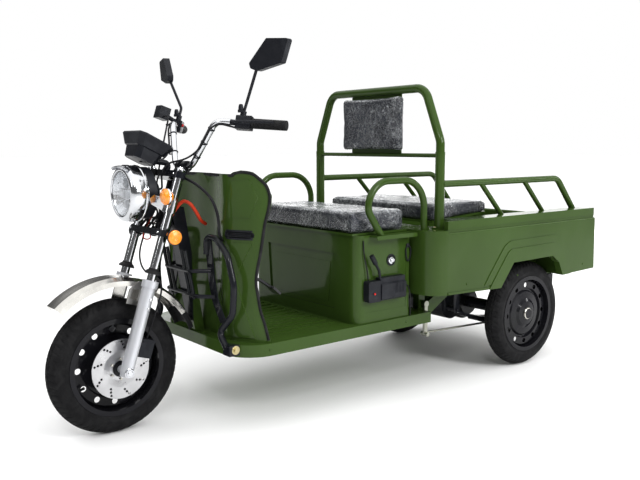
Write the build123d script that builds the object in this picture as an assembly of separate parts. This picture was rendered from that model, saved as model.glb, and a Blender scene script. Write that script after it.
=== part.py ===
from build123d import *
from math import radians, sqrt, tan
import os

# Electric cargo tricycle: one steered front wheel, a footboard with a leg shield, a seat box,
# and a pressed cargo bed over a driven rear axle.
# Millimetres. +X is the vehicle's left, the front faces -Y, +Z is up, and z = 0 is the ground.
# The origin is on the ground, midway between the front tyre and the tail.

# Driving dimensions -------------------------------------------------------------------------

wheelbase = 1733.0
rear_track = 728.0
rear_overhang = 423.0

# Wheels: 12 inch pressed steel rims, 3.00 section tyres.
tyre_radius = 228.0
tyre_width = 80.0
rim_seat_radius = 152.0
rim_width = 68.0
rim_flange_height = 13.0
rim_wall = 4.0
rim_hole_radius = 10.5
rim_hole_count = 12
rim_hole_ring = 124.0
bead_gap = 0.3

# Front hub, disc brake and fork.
front_axle_radius = 8.0
front_hub_radius = 38.0
front_hub_width = 112.0
brake_disc_radius = 100.0
brake_disc_thickness = 4.0
brake_disc_offset = 58.0
running_gap = 0.05
seat_gap = 0.3
moving_gap = 5.0
fork_rake = 18.2
fork_half_spacing = 101.0
slider_radius = 22.0
slider_length = 306.0
slider_foot = 16.0
seal_radius = 27.0
seal_height = 24.0
stanchion_radius = 15.0
steering_offset = 45.0
stem_radius = 13.0
lower_clamp_height = 455.0
upper_clamp_height = 656.0
clamp_thickness = 22.0
stanchion_over_clamp = 28.0
clamp_margin = 7.0
head_tube_wall = 13.0

# Handlebar, controls and mirrors, in the fork's own frame (side, behind the legs, up the legs).
bar_radius = 11.0
bar_centre_behind = 61.0
bar_centre_over_clamp = 59.0
bar_centre_half = 58.0
bar_rise_side = 150.0
bar_rise_behind = 54.0
bar_rise_over_clamp = 216.0
grip_end_side = 349.0
grip_end_behind = 203.0
grip_end_over_clamp = 247.0
bar_bend_radius = 42.0
grip_length = 122.0
grip_radius = 17.0
switch_length = 52.0
switch_size = 46.0
lever_reach = 52.0
fluid_box_width = 42.0
fluid_box_height = 46.0
mirror_width = 158.0
mirror_height = 100.0
mirror_depth = 24.0
mirror_side = 352.0
mirror_behind = 70.0
mirror_over_clamp = 438.0
mirror_toe = 17.0
mirror_stem_radius = 5.0

# Lamps, instrument pod and front mudguard.
headlamp_radius = 95.0
headlamp_rim_depth = 42.0
headlamp_shell_depth = 62.0
headlamp_ahead = 118.0
headlamp_under_clamp = 91.0
signal_radius = 27.0
signal_depth = 34.0
signal_side = 146.0
signal_under_clamp = 74.0
signal_ahead = 46.0
reflector_radius = 26.0
reflector_depth = 14.0
reflector_side = 144.0
reflector_over_clamp = 7.0
reflector_behind = 20.0
ear_thickness = 5.0
ear_reach = 78.0
ear_height = 58.0
ear_collar_height = 44.0
pod_width = 156.0
pod_depth = 130.0
pod_height = 80.0
pod_base_width = 104.0
pod_base_depth = 80.0
pod_ahead = 90.0
pod_over_clamp = 106.0
pod_tilt = 26.5
fender_radius = 302.0
fender_half_width = 56.0
fender_wall = 3.0
fender_lip = 24.0
fender_front_angle = 132.0
fender_rear_angle = 20.0
flap_arc = 13.0
flap_gap_angle = 0.05

# Floor, leg shield and guards.
floor_half_width = 340.0
floor_underside = 261.0
floor_top = 303.0
floor_wall = 3.0
floor_front_ahead = 1440.0
floor_rear_ahead = 552.0
floor_corner_radius = 120.0
floor_rib_count = 11
floor_rib_pitch = 46.0
floor_rib_height = 3.0
pedal_side = 180.0
pedal_ahead = 1318.0
pedal_height = 196.0
pedal_arm_radius = 6.0
shield_wall = 4.0
shield_centre_ahead = 1388.0
shield_wing_ahead = 1402.0
shield_edge_ahead = 1310.0
shield_half_width = 330.0
shield_press_depth = 3.0
shield_vent_inner = 192.0
shield_vent_outer = 296.0
shield_vent_height = 664.0
shield_vent_width = 24.0
shield_top = 872.0
guard_radius = 11.0
guard_bar_radius = 7.0
guard_top_height = 648.0
guard_crown_side = 100.0
guard_shoulder_side = 166.0
guard_elbow_side = 236.0
guard_elbow_height = 598.0
guard_hip_side = 273.0
guard_hip_height = 500.0
guard_shin_side = 262.0
guard_shin_height = 400.0
guard_knee_side = 212.0
guard_knee_height = 334.0
guard_foot_side = 266.0
guard_top_ahead = 1425.0
guard_foot_ahead = 1452.0
guard_strip_width = 38.0
guard_strip_thickness = 5.0
grille_upper_height = 532.0
grille_lower_height = 445.0
grille_upper_half_width = 128.0
grille_lower_half_width = 152.0

# Seat box, seat and armrests.
box_half_width = 330.0
box_front_ahead = 940.0
box_rear_ahead = 668.0
box_below_shelf = 5.0
box_wall = 3.0
box_panel_depth = 6.0
box_corner_radius = 40.0
panel_top_half = 224.0
panel_low_half = 208.0
panel_below_top = 74.0
panel_over_floor = 46.0
lip_width = 42.0
armrest_side = 352.0
armrest_radius = 13.0
armrest_top = 829.0
armrest_foot_ahead = 838.0
armrest_knee_ahead = 908.0
cushion_height = 77.0
cushion_overhang = 17.0
lid_thickness = 8.0
battery_half_width = 290.0
battery_height = 176.0
battery_behind_front = 40.0
battery_length = 202.0
lever_front_ahead = 904.0
lever_rear_ahead = 716.0
lever_box_bottom = 388.0
lever_box_height = 64.0
lever_box_depth = 34.0
lever_knob_height = 559.0
lid_hinge_radius = 3.0
lid_pin_radius = 1.5
lid_hinge_side = 200.0

# Roll bar and back cushion.
roll_bar_half_width = 368.0
roll_bar_ahead = 544.0
roll_bar_top = 1180.0
roll_bar_radius = 17.0
roll_bar_shoulder_height = 972.0
roll_bar_top_half_width = 283.0
roll_bar_bend = 66.0
back_rail_height = 919.0
back_rail_radius = 8.0
back_cushion_half_width = 183.0
back_cushion_thickness = 40.0
back_cushion_over_rail = 3.0
back_cushion_top = 1162.0

# Cargo bed.
bed_half_width = 450.0
bed_wall = 24.0
bed_front_ahead = 655.0
bed_corner_radius = 76.0
bed_bottom = 389.0
bed_bead_height = 621.0
bed_rim_over_bead = 51.0
bed_rim_width = 20.0
bed_shelf_over_bead = 16.0
bed_shelf_depth = 138.0
bed_floor_bottom = 400.0
bed_floor_thickness = 8.0
wheel_house_wall = 4.0
wheel_house_inner = 302.0
wheel_house_top = 486.0
arch_front_ahead = 263.0
arch_knee_ahead = 182.0
arch_rear_behind = 170.0
arch_shoulder_behind = 138.0
arch_flat_behind = 91.0
arch_height = 480.0
arch_flare_width = 58.0
arch_step_width = 34.0
arch_flare_rise = 6.0
bed_ledge_width = 84.0
bed_ledge_thickness = 5.0
rail_outset = 8.0
rail_tube_radius = 13.5
rail_tube_height = 810.0
rail_strut_radius = 10.0
rail_bend_behind = 218.0
rail_foot_behind = 342.0
rail_bend_radius = 66.0
rail_front_strut_ahead = 312.0
rail_rear_strut_ahead = 27.0
rail_strut_lean = 138.0
tailgate_thickness = 22.0
tailgate_gap = 5.0
tailgate_hinge_radius = 7.0
bench_half_width = 325.0
bench_front_ahead = 530.0
bench_rear_ahead = 186.0
bench_board = 9.0
bench_cushion_height = 58.0
bench_over_shelf = 14.0
bench_rear_rise = 22.0

# Cables that the vehicle holds from end to end.
cable_radius = 3.2
brake_hose_radius = 3.0
lever_cable_radius = 2.4
cable_bar_gap = 3.5

# Chassis, rear axle and springs.
rail_side = 255.0
rail_width = 40.0
rail_height = 38.0
rear_rail_bottom = 352.0
rear_rail_height = 40.0
down_tube_half_width = 24.0
relay_length = 124.0
axle_tube_radius = 26.0
stub_radius = 12.0
drum_radius = 104.0
drum_inner = 54.0
backing_thickness = 6.0
hub_cap_radius = 25.0
hub_cap_reach = 41.0
tail_lamp_inner = 112.0
tail_lamp_outer = 206.0
tail_lamp_height = 56.0
tail_lamp_depth = 34.0
leaf_width = 45.0
leaf_thickness = 7.0
leaf_count = 4
leaf_half_length = 332.0
leaf_sag = 70.0
leaf_eye_radius = 11.0
hanger_plate = 5.0
differential_radius = 84.0
motor_radius = 68.0
motor_rise = 14.0
motor_length = 190.0

# Worked-out places ---------------------------------------------------------------------------

rear_axle_y = (wheelbase + tyre_radius - rear_overhang) / 2
front_axle_y = rear_axle_y - wheelbase
wheel_side = rear_track / 2
stanchion_top = upper_clamp_height + stanchion_over_clamp
bar_centre_up = upper_clamp_height + bar_centre_over_clamp
bar_rise_up = upper_clamp_height + bar_rise_over_clamp
grip_end_up = upper_clamp_height + grip_end_over_clamp
mirror_up = upper_clamp_height + mirror_over_clamp
pod_up = upper_clamp_height + pod_over_clamp
headlamp_up = upper_clamp_height - headlamp_under_clamp
signal_up = upper_clamp_height - signal_under_clamp
reflector_up = lower_clamp_height + reflector_over_clamp
bed_rim_height = bed_bead_height + bed_rim_over_bead
bed_shelf_height = bed_bead_height + bed_shelf_over_bead
box_top = bed_shelf_height - box_below_shelf
back_cushion_bottom = back_rail_height + back_rail_radius + back_cushion_over_rail
fork_frame = Location((0, front_axle_y, tyre_radius), (-fork_rake, 0, 0))


def ahead(distance):
    """Y of a station that lies this far ahead of the rear axle."""
    return rear_axle_y - distance


def fork_point(side, behind, up):
    """A point of the fork's own frame, in the vehicle's frame."""
    place = fork_frame * Pos(side, behind, up)
    return Vector(*place.position)


# Small builders --------------------------------------------------------------------------------


def block(x0, x1, y0, y1, z0, z1):
    """A box between two corners."""
    centre = Pos((x0 + x1) / 2, (y0 + y1) / 2, (z0 + z1) / 2)
    return centre * Box(abs(x1 - x0), abs(y1 - y0), abs(z1 - z0))


def rod(start, end, radius):
    """A round bar between two points."""
    start = Vector(*start)
    run = Vector(*end) - start
    plane = Plane(origin=start, z_dir=run)
    return extrude(plane * Circle(radius), run.length)


def tube(points, bends, radius):
    """A round tube along straight runs joined by bends."""
    path = FilletPolyline(*points, radius=bends)
    plane = Plane(origin=path @ 0, z_dir=path % 0)
    return sweep(plane * Circle(radius), path=path)


def side_view(points, x0, x1):
    """A plate whose outline is drawn in the side view (y, z)."""
    face = Plane.YZ * make_face(Polyline(*points, close=True))
    return Pos(min(x0, x1), 0, 0) * extrude(face, abs(x1 - x0))


def front_view(points, y0, y1):
    """A plate whose outline is drawn in the front view (x, z)."""
    face = Plane.XZ * make_face(Polyline(*points, close=True))
    return Pos(0, max(y0, y1), 0) * extrude(face, abs(y1 - y0))


def turned(points):
    """A solid turned about the X axis from an outline of (along, radius) points."""
    return revolve(make_face(Polyline(*points, close=True)), axis=Axis.X)


def mirrored(shape):
    """The same shape on the vehicle's other side."""
    return mirror(shape, about=Plane.YZ)


def both_sides(shape):
    """The shape and its mirror image, as separate solids."""
    return Compound(children=[*Compound([shape]).solids(), *Compound([mirrored(shape)]).solids()])


def cross_bore(radius, length):
    """A bore along X through the origin."""
    return Rotation(0, 90, 0) * Cylinder(radius, length)


def ring_of(shape, count, start=0.0):
    """Copies of a shape, spaced evenly about the X axis."""
    return [Rotation(start + 360 / count * step, 0, 0) * shape for step in range(count)]


# Wheels -------------------------------------------------------------------------------------------


def make_tyre():
    """A tyre on its rim seat, closed inside, with its crown and bulging walls."""
    half_bead = rim_width / 2 - bead_gap
    half = tyre_width / 2
    shoulder = tyre_radius - 10
    widest = (rim_seat_radius + tyre_radius) / 2
    right = [
        (half_bead, rim_seat_radius),
        (half_bead, rim_seat_radius + rim_flange_height),
        (half, widest),
        (half - 2, widest + 16),
        (half - 10, shoulder),
    ]
    left = [(-x, r) for x, r in reversed(right)]
    edge = Polyline(*left, *[]) + Polyline(*right)
    crown = ThreePointArc(right[-1], (0, tyre_radius), left[0])
    base = Line(left[-1], right[0])
    face = make_face(edge + crown + base)
    return revolve(face, axis=Axis.X)


def make_rim(hub_radius, disc_x):
    """A pressed rim: barrel, two flanges and a dished disc with a ring of round holes."""
    half = rim_width / 2
    seat = rim_seat_radius - bead_gap / 10
    top = rim_seat_radius + rim_flange_height
    barrel = turned([
        (-half - rim_wall, seat - rim_wall),
        (-half - rim_wall, top),
        (-half, top),
        (-half, seat),
        (half, seat),
        (half, top),
        (half + rim_wall, top),
        (half + rim_wall, seat - rim_wall),
    ])
    ridge = (rim_hole_ring + seat) / 2
    disc = turned([
        (disc_x, hub_radius),
        (disc_x, rim_hole_ring - 18),
        (disc_x + 10, rim_hole_ring - 14),
        (disc_x + 10, ridge),
        (disc_x, seat - rim_wall / 2),
        (disc_x + rim_wall, seat - rim_wall / 2),
        (disc_x + 10 + rim_wall, ridge),
        (disc_x + 10 + rim_wall, rim_hole_ring - 14),
        (disc_x + rim_wall, rim_hole_ring - 18),
        (disc_x + rim_wall, hub_radius),
    ])
    hole = Pos(disc_x + 10, 0, rim_hole_ring) * cross_bore(rim_hole_radius, 60)
    for cut in ring_of(hole, rim_hole_count):
        disc -= cut
    return barrel + disc


def make_front_wheel():
    """Front tyre, rim with hub, and brake disc, about the front axle."""
    bore = front_axle_radius + running_gap
    half_hub = front_hub_width / 2
    disc_x = -14.0
    hub = turned([
        (-half_hub, bore),
        (-half_hub, front_hub_radius * 0.7),
        (disc_x - 20, front_hub_radius),
        (disc_x, front_hub_radius),
        (disc_x, 76.0),
        (disc_x + rim_wall, 76.0),
        (disc_x + rim_wall, front_hub_radius),
        (half_hub - 12, front_hub_radius),
        (half_hub - 12, front_hub_radius * 0.7),
        (half_hub, front_hub_radius * 0.7),
        (half_hub, bore),
    ])
    rim = make_rim(70.0, disc_x) + hub
    disc_face = brake_disc_offset - brake_disc_thickness
    carrier_inner = front_hub_radius * 0.7 + seat_gap
    disc = turned([
        (half_hub - 12 + seat_gap, carrier_inner),
        (half_hub - 12 + seat_gap, front_hub_radius + 8),
        (disc_face, brake_disc_radius * 0.62),
        (disc_face, brake_disc_radius),
        (brake_disc_offset, brake_disc_radius),
        (brake_disc_offset, brake_disc_radius * 0.6),
        (brake_disc_offset - 4, front_hub_radius),
        (brake_disc_offset - 4, carrier_inner),
    ])
    for ring, count in ((0.72, 9), (0.82, 9), (0.92, 9)):
        hole = Pos(brake_disc_offset, 0, brake_disc_radius * ring) * cross_bore(4.0, 30)
        for cut in ring_of(hole, count, 40 * ring):
            disc -= cut
    place = Pos(0, front_axle_y, tyre_radius)
    return {
        "tyre_front": place * make_tyre(),
        "rim_front": place * rim,
        "brake_disc_front": place * disc,
    }


def make_rear_wheel():
    """Left rear tyre and rim with its drum hub, about the rear axle, outboard along +X."""
    disc_x = 6.0
    bore = stub_radius + running_gap
    reach = hub_cap_reach
    drum = turned([
        (-drum_inner, bore),
        (-drum_inner, drum_radius - 8),
        (-drum_inner + 8, drum_radius),
        (disc_x, drum_radius),
        (disc_x + 12, drum_radius - 10),
        (disc_x + 16, drum_radius * 0.62),
        (reach - 12, drum_radius * 0.5),
        (reach - 8, hub_cap_radius),
        (reach, hub_cap_radius - 4),
        (reach, 0),
        (reach - 9, 0),
        (reach - 9, bore),
    ])
    rim = make_rim(drum_radius - 10, disc_x) + drum
    place = Pos(wheel_side, rear_axle_y, tyre_radius)
    return {"tyre": place * make_tyre(), "rim": place * rim}


# Fork and steering ----------------------------------------------------------------------------------


def make_fork_sliders():
    """The two lower legs with their dust seals, joined by the front axle."""
    legs = []
    for side in (-fork_half_spacing, fork_half_spacing):
        leg = Pos(side, 0, -slider_foot) * Cylinder(slider_radius - 3, slider_foot * 2, align=(Align.CENTER,) * 2 + (Align.MIN,))
        upper = Pos(side, 0, 0) * Cylinder(slider_radius, slider_length, align=(Align.CENTER,) * 2 + (Align.MIN,))
        seal = Pos(side, 0, slider_length - seal_height) * Cylinder(seal_radius, seal_height, align=(Align.CENTER,) * 2 + (Align.MIN,))
        legs.append(leg + upper + seal)
    reach = fork_half_spacing + slider_radius + 8
    axle = Rotation(0, 90, 0) * Cylinder(front_axle_radius, 2 * reach)
    body = legs[0] + legs[1] + axle
    for side in (-1, 1):
        nut = Pos(side * (reach - 5), 0, 0) * Rotation(0, 90, 0) * Cylinder(14, 10)
        body += nut
        inner = fork_half_spacing - slider_radius
        spacer_length = inner - front_hub_width / 2 - 2
        spacer = Pos(side * (inner - spacer_length / 2 + 2), 0, 0)
        body += spacer * Rotation(0, 90, 0) * Cylinder(13, spacer_length + 4)
    body -= Pos(fork_half_spacing, 0, slider_length) * Cylinder(stanchion_radius + seat_gap, 80)
    body -= Pos(-fork_half_spacing, 0, slider_length) * Cylinder(stanchion_radius + seat_gap, 80)
    return fork_frame * body


def make_fork_tubes():
    """The two bright upper tubes, seated in the lower legs."""
    foot = slider_length - 40
    length = stanchion_top - foot
    tubes = []
    for side in (-fork_half_spacing, fork_half_spacing):
        bar = Pos(side, 0, foot) * Cylinder(stanchion_radius, length, align=(Align.CENTER,) * 2 + (Align.MIN,))
        tubes.append(fork_frame * bar)
    return Compound(children=tubes)


def clamp_plate(height):
    """One triple clamp: a plate that takes both fork tubes and the steering stem."""
    outer = stanchion_radius + clamp_margin
    circles = Pos(-fork_half_spacing, 0) * Circle(outer)
    circles += Pos(fork_half_spacing, 0) * Circle(outer)
    circles += Pos(0, steering_offset) * Circle(stem_radius + clamp_margin)
    plate = extrude(make_hull(circles.edges()), clamp_thickness)
    for side in (-fork_half_spacing, fork_half_spacing):
        plate -= Pos(side, 0, 0) * Cylinder(stanchion_radius + seat_gap, 4 * clamp_thickness)
    return Pos(0, 0, height) * plate


def make_fork_clamps():
    """Upper and lower clamps with the steering stem and the handlebar risers."""
    stem_length = upper_clamp_height - lower_clamp_height
    stem = Pos(0, steering_offset, lower_clamp_height)
    stem *= Cylinder(stem_radius, stem_length, align=(Align.CENTER,) * 2 + (Align.MIN,))
    body = clamp_plate(lower_clamp_height) + clamp_plate(upper_clamp_height) + stem
    top = upper_clamp_height + clamp_thickness
    for side in (-20, 20):
        base = (side, steering_offset, top - 4)
        riser = rod(base, (side, bar_centre_behind, bar_centre_up), 13)
        collar = Pos(side, bar_centre_behind, bar_centre_up) * Rotation(0, 90, 0)
        body += riser + collar * Cylinder(bar_radius + 8, 20)
    bore = Pos(0, bar_centre_behind, bar_centre_up) * Rotation(0, 90, 0)
    body -= bore * Cylinder(bar_radius + seat_gap, 200)
    return fork_frame * body


def bar_points():
    """The handlebar's corners on the left side, in the fork's own frame."""
    return [
        (bar_centre_half, bar_centre_behind, bar_centre_up),
        (bar_rise_side, bar_rise_behind, bar_rise_up),
        (grip_end_side, grip_end_behind, grip_end_up),
    ]


def grip_direction():
    """Unit direction of the left grip, pointing outwards, in the fork's own frame."""
    corner, end = bar_points()[1:]
    return (Vector(*end) - Vector(*corner)).normalized()


def make_handlebar():
    """One bent bar from grip to grip."""
    left = bar_points()
    end = Vector(*left[2]) - grip_direction() * 6
    left[2] = (end.X, end.Y, end.Z)
    right = [(-x, y, z) for x, y, z in reversed(left)]
    return fork_frame * tube(right + left, bar_bend_radius, bar_radius)


def make_grips():
    """The two rubber grips, closed at their outer ends."""
    end = Vector(*bar_points()[2])
    direction = grip_direction()
    start = end - direction * grip_length
    grip = rod(start, end, grip_radius)
    grip -= rod(start - direction * 5, end - direction * 6, bar_radius + seat_gap)
    return both_sides(fork_frame * grip)


def make_hand_controls():
    """Switch housings, mirror clamps, brake levers and the brake fluid box on the bar."""
    end = Vector(*bar_points()[2])
    direction = grip_direction()
    outer = end - direction * (grip_length + seat_gap)
    inner = outer - direction * switch_length
    plane = Plane(origin=inner, z_dir=direction, x_dir=(0, 0, 1))
    housing = extrude(plane * RectangleRounded(switch_size, switch_size * 0.82, 7), switch_length)
    lever_root = inner + Vector(0, -24, -6)
    lever_mid = inner + direction * 40 + Vector(6, -44, -8)
    lever_tip = end - direction * 4 + Vector(0, -lever_reach, -6)
    lever = tube([tuple(lever_root), tuple(lever_mid), tuple(lever_tip)], 30, 4.5)
    perch = rod(inner + direction * 6 + Vector(0, 4, 0), lever_root, 9)
    body = housing + perch + lever
    mirror_foot = inner + direction * 14
    body += rod(mirror_foot, mirror_foot + Vector(0, 0, 40), 10)
    bar_room = rod(inner - direction * 40, outer + direction * 2, bar_radius + seat_gap)
    left = fork_frame * (body - bar_room)
    tank_centre = mirror_foot + Vector(-4, -fluid_box_width - 30, 24)
    neck = rod(mirror_foot + Vector(0, 0, 10), tank_centre, 8)
    tank = Pos(*tank_centre) * Box(fluid_box_width, fluid_box_width, fluid_box_height)
    right = mirrored(fork_frame * (body + neck + tank - bar_room))
    return Compound(children=[*Compound([left]).solids(), *Compound([right]).solids()])


def make_mirror():
    """The left mirror: stem and kite-shaped head, toed in towards the rider."""
    end = Vector(*bar_points()[2])
    foot = end - grip_direction() * (grip_length + switch_length - 14) + Vector(0, 0, 40 + seat_gap)
    knee = Vector(foot.X + 2, foot.Y, foot.Z + 30)
    head = Vector(mirror_side, mirror_behind, mirror_up)
    neck = Vector(head.X - mirror_width * 0.3, head.Y - 6, head.Z - mirror_height * 0.3)
    stem = tube([tuple(foot), tuple(knee), tuple(neck)], 20, mirror_stem_radius)
    width = mirror_width / 2
    height = mirror_height / 2
    outline = Polyline(
        (-width, -height * 0.47),
        (-width * 0.1, height),
        (width, height * 0.87),
        (width * 0.65, -height * 0.6),
        (-width * 0.6, -height),
        (-width * 0.93, -height * 0.8),
        close=True,
    )
    face = fillet(make_face(outline).vertices(), 7)
    shell = extrude(Plane.XZ * face, mirror_depth / 2, both=True)
    upright = Pos(head.X, head.Y, head.Z) * Rotation(fork_rake, 0, 0) * Rotation(0, 0, mirror_toe)
    return fork_frame * (stem + upright * shell)


# Front lamps, pod, mudguard and caliper ---------------------------------------------------------------


def headlamp_bucket(margin):
    """The headlamp's bucket, aimed straight ahead, with its wall moved out by a margin."""
    front = fork_point(0, -headlamp_ahead, headlamp_up)
    aim = Pos(front.X, front.Y, front.Z) * Rotation(0, 0, -90)
    radius = headlamp_radius + margin
    back = -headlamp_rim_depth - seat_gap
    deep = -headlamp_rim_depth - headlamp_shell_depth
    return aim * turned([
        (back, 0),
        (back, radius - 7),
        (back - 30, radius - 8),
        (deep + 26, radius * 0.72),
        (deep - margin, radius * 0.42),
        (deep - margin, 0),
    ])


def make_headlamp():
    """The headlamp's bright rim with lens and peak, and its bucket."""
    front = fork_point(0, -headlamp_ahead, headlamp_up)
    aim = Pos(front.X, front.Y, front.Z) * Rotation(0, 0, -90)
    radius = headlamp_radius
    lens = aim * turned([
        (-headlamp_rim_depth, 0),
        (-headlamp_rim_depth, radius - 6),
        (-headlamp_rim_depth + 8, radius),
        (-8, radius),
        (0, radius - 8),
        (2, radius * 0.6),
        (5, 0),
    ])
    peak = side_view([
        (front.Y - 22, front.Z + radius - 2),
        (front.Y + 4, front.Z + radius - 14),
        (front.Y + headlamp_rim_depth - 4, front.Z + radius - 14),
        (front.Y + headlamp_rim_depth - 4, front.Z + radius + 1),
    ], -34, 34)
    lens += peak
    return lens, headlamp_bucket(0)


def make_pod():
    """Instrument pod: a tapered box, its face tipped back towards the rider."""
    base = fork_point(0, -pod_ahead, pod_up)
    levels = [
        (0, pod_width, pod_depth),
        (-6, pod_width + 4, pod_depth + 4),
        (-pod_height * 0.5, pod_width - 26, pod_depth - 26),
        (-pod_height * 0.5 - 3, pod_width - 38, pod_depth - 38),
        (-pod_height, pod_base_width, pod_base_depth),
    ]
    sections = []
    for height, width, depth in levels:
        outline = Rectangle(width, depth)
        sections.append(Plane.XY.offset(height) * chamfer(outline.vertices(), 16))
    body = None
    for upper, lower in zip(sections, sections[1:]):
        step = loft([upper, lower])
        body = step if body is None else body + step
    turn = Pos(base.X, base.Y, base.Z) * Rotation(-pod_tilt, 0, 0)
    body = turn * body
    clamp_top = upper_clamp_height + clamp_thickness + seat_gap
    foot = fork_point(0, 4, clamp_top)
    knee = fork_point(0, 4, clamp_top + 30)
    low = turn * Pos(0, 0, -pod_height + 6)
    arm = tube([tuple(foot), tuple(knee), tuple(low.position)], [14], 10)
    return body + arm


def make_lamp_brackets():
    """Bright ears that clamp to the fork tubes and reach forward to the headlamp's sides."""
    up = headlamp_up - 6
    ear_inner = fork_half_spacing - 4
    collar = Pos(fork_half_spacing, 0, up - ear_collar_height / 2)
    collar *= Cylinder(stanchion_radius + 5, ear_collar_height, align=(Align.CENTER,) * 2 + (Align.MIN,))
    arm = Polyline(
        (0.13 * ear_reach, up - 0.59 * ear_height),
        (0.13 * ear_reach, up + 0.34 * ear_height),
        (-0.38 * ear_reach, up + 0.41 * ear_height),
        (-0.85 * ear_reach, up + 0.38 * ear_height),
        (-ear_reach, up + 0.1 * ear_height),
        (-0.85 * ear_reach, up - 0.2 * ear_height),
        (-0.38 * ear_reach, up - 0.34 * ear_height),
        close=True,
    )
    plate = Pos(ear_inner - ear_thickness, 0, 0) * extrude(Plane.YZ * make_face(arm), ear_thickness)
    stalk_end = signal_side - signal_radius - seat_gap
    stalk = rod((ear_inner - 2, -signal_ahead, signal_up), (stalk_end, -signal_ahead, signal_up), 6)
    boss = rod((ear_inner - 2, -62, up + 4), (fork_half_spacing / 2, -62, up + 4), 9)
    ear = collar + plate + stalk + boss
    ear -= Pos(fork_half_spacing, 0, up) * Cylinder(stanchion_radius + seat_gap, 200)
    return both_sides(fork_frame * ear - headlamp_bucket(seat_gap))


def make_signals():
    """Amber turn signals on the ears: round, bulging forwards."""
    centre = fork_point(signal_side, -signal_ahead, signal_up)
    aim = Pos(centre.X, centre.Y, centre.Z) * Rotation(0, 0, -90)
    lamp = aim * turned([
        (-signal_depth / 2, 0),
        (-signal_depth / 2, signal_radius * 0.55),
        (0, signal_radius),
        (8, signal_radius),
        (signal_depth / 2 - 2, signal_radius * 0.7),
        (signal_depth / 2, 0),
    ])
    return lamp


def make_reflectors():
    """Round amber reflectors that face sideways, on short arms from the lower clamp."""
    centre = fork_point(reflector_side, reflector_behind, reflector_up)
    disc = Pos(centre.X, centre.Y, centre.Z) * turned([
        (-reflector_depth / 2, 0),
        (-reflector_depth / 2, reflector_radius - 2),
        (0, reflector_radius),
        (reflector_depth / 2, reflector_radius - 3),
        (reflector_depth / 2 + 2, 0),
    ])
    inner = fork_half_spacing + stanchion_radius + clamp_margin + seat_gap
    start = fork_point(inner + 3.5, 0, reflector_up + 4)
    end = fork_point(reflector_side, reflector_behind, reflector_up + 4)
    return disc + rod(start, end, 5)


def make_fender():
    """Curved bright front mudguard with rolled sides, and the black flap at its rear end."""
    outer = fender_radius
    inner = outer - fender_wall
    half = fender_half_width
    section = make_face(Polyline(
        (-half, inner - fender_lip),
        (-half, inner - fender_lip * 0.3),
        (-half * 0.6, outer),
        (half * 0.6, outer),
        (half, inner - fender_lip * 0.3),
        (half, inner - fender_lip),
        (half - fender_wall, inner - fender_lip),
        (half - fender_wall, inner - fender_lip * 0.3 - 1),
        (half * 0.6 - 1, inner),
        (-half * 0.6 + 1, inner),
        (-half + fender_wall, inner - fender_lip * 0.3 - 1),
        (-half + fender_wall, inner - fender_lip),
        close=True,
    ))
    start = fender_rear_angle + flap_arc
    guard = revolve(section, axis=Axis.X, revolution_arc=fender_front_angle - start)
    guard = Rotation(start, 0, 0) * guard
    flap = revolve(section, axis=Axis.X, revolution_arc=flap_arc - flap_gap_angle)
    flap = Rotation(fender_rear_angle, 0, 0) * flap
    place = Pos(0, front_axle_y, tyre_radius)
    return place * guard, place * flap


def make_fender_stays():
    """Side plates between the mudguard and the lower legs."""
    inner = fork_half_spacing - slider_radius
    plate = Polyline(
        (-44, slider_length - 92),
        (-44, slider_length - 44),
        (-20, slider_length - 12),
        (-4, slider_length - 12),
        (-4, slider_length - 92),
        close=True,
    )
    stay = extrude(Plane.YZ * make_face(plate), 5)
    stay = Pos(fender_half_width - fender_wall / 2, 0, 0) * stay
    web = block(fender_half_width, inner + 6, -22, -4, slider_length - 74, slider_length - 40)
    leg = Pos(fork_half_spacing, 0, 0) * Cylinder(slider_radius + seat_gap, 2 * slider_length)
    return fork_frame * (stay + web - leg)


def make_caliper():
    """Disc brake caliper behind the left leg, straddling the disc."""
    y0 = slider_radius + 3
    body = block(brake_disc_offset - 26, brake_disc_offset + 18, y0 + 16, y0 + 62, 50, 112)
    slot = block(brake_disc_offset - brake_disc_thickness - 3, brake_disc_offset + 3, y0 - 30, y0 + 90, 0, 106)
    body -= slot
    arm = block(brake_disc_offset + 6, fork_half_spacing, slider_radius - 6, y0 + 18, 56, 104)
    arm -= Pos(fork_half_spacing, 0, 0) * Cylinder(slider_radius + seat_gap, 400)
    return fork_frame * (body + arm)


# Chassis ------------------------------------------------------------------------------------------------


def down_tube_line(z, front):
    """Y of the down tube's front or rear face at a height."""
    foot_z = floor_underside + 40
    foot_y = ahead(floor_front_ahead) + (7 if front else 45)
    neck = fork_point(0, steering_offset + stem_radius + head_tube_wall - 4, lower_clamp_height + 75)
    neck_y = neck.Y + (0 if front else 36)
    neck_z = neck.Z - (30 if front else -40)
    return foot_y + (neck_y - foot_y) * (z - foot_z) / (neck_z - foot_z)


def axis_rod(radius, low, high):
    """A rod about the steering axis between two heights of the fork's frame."""
    start = fork_frame * Pos(0, steering_offset, low)
    return start * Cylinder(radius, high - low, align=(Align.CENTER,) * 2 + (Align.MIN,))


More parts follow.
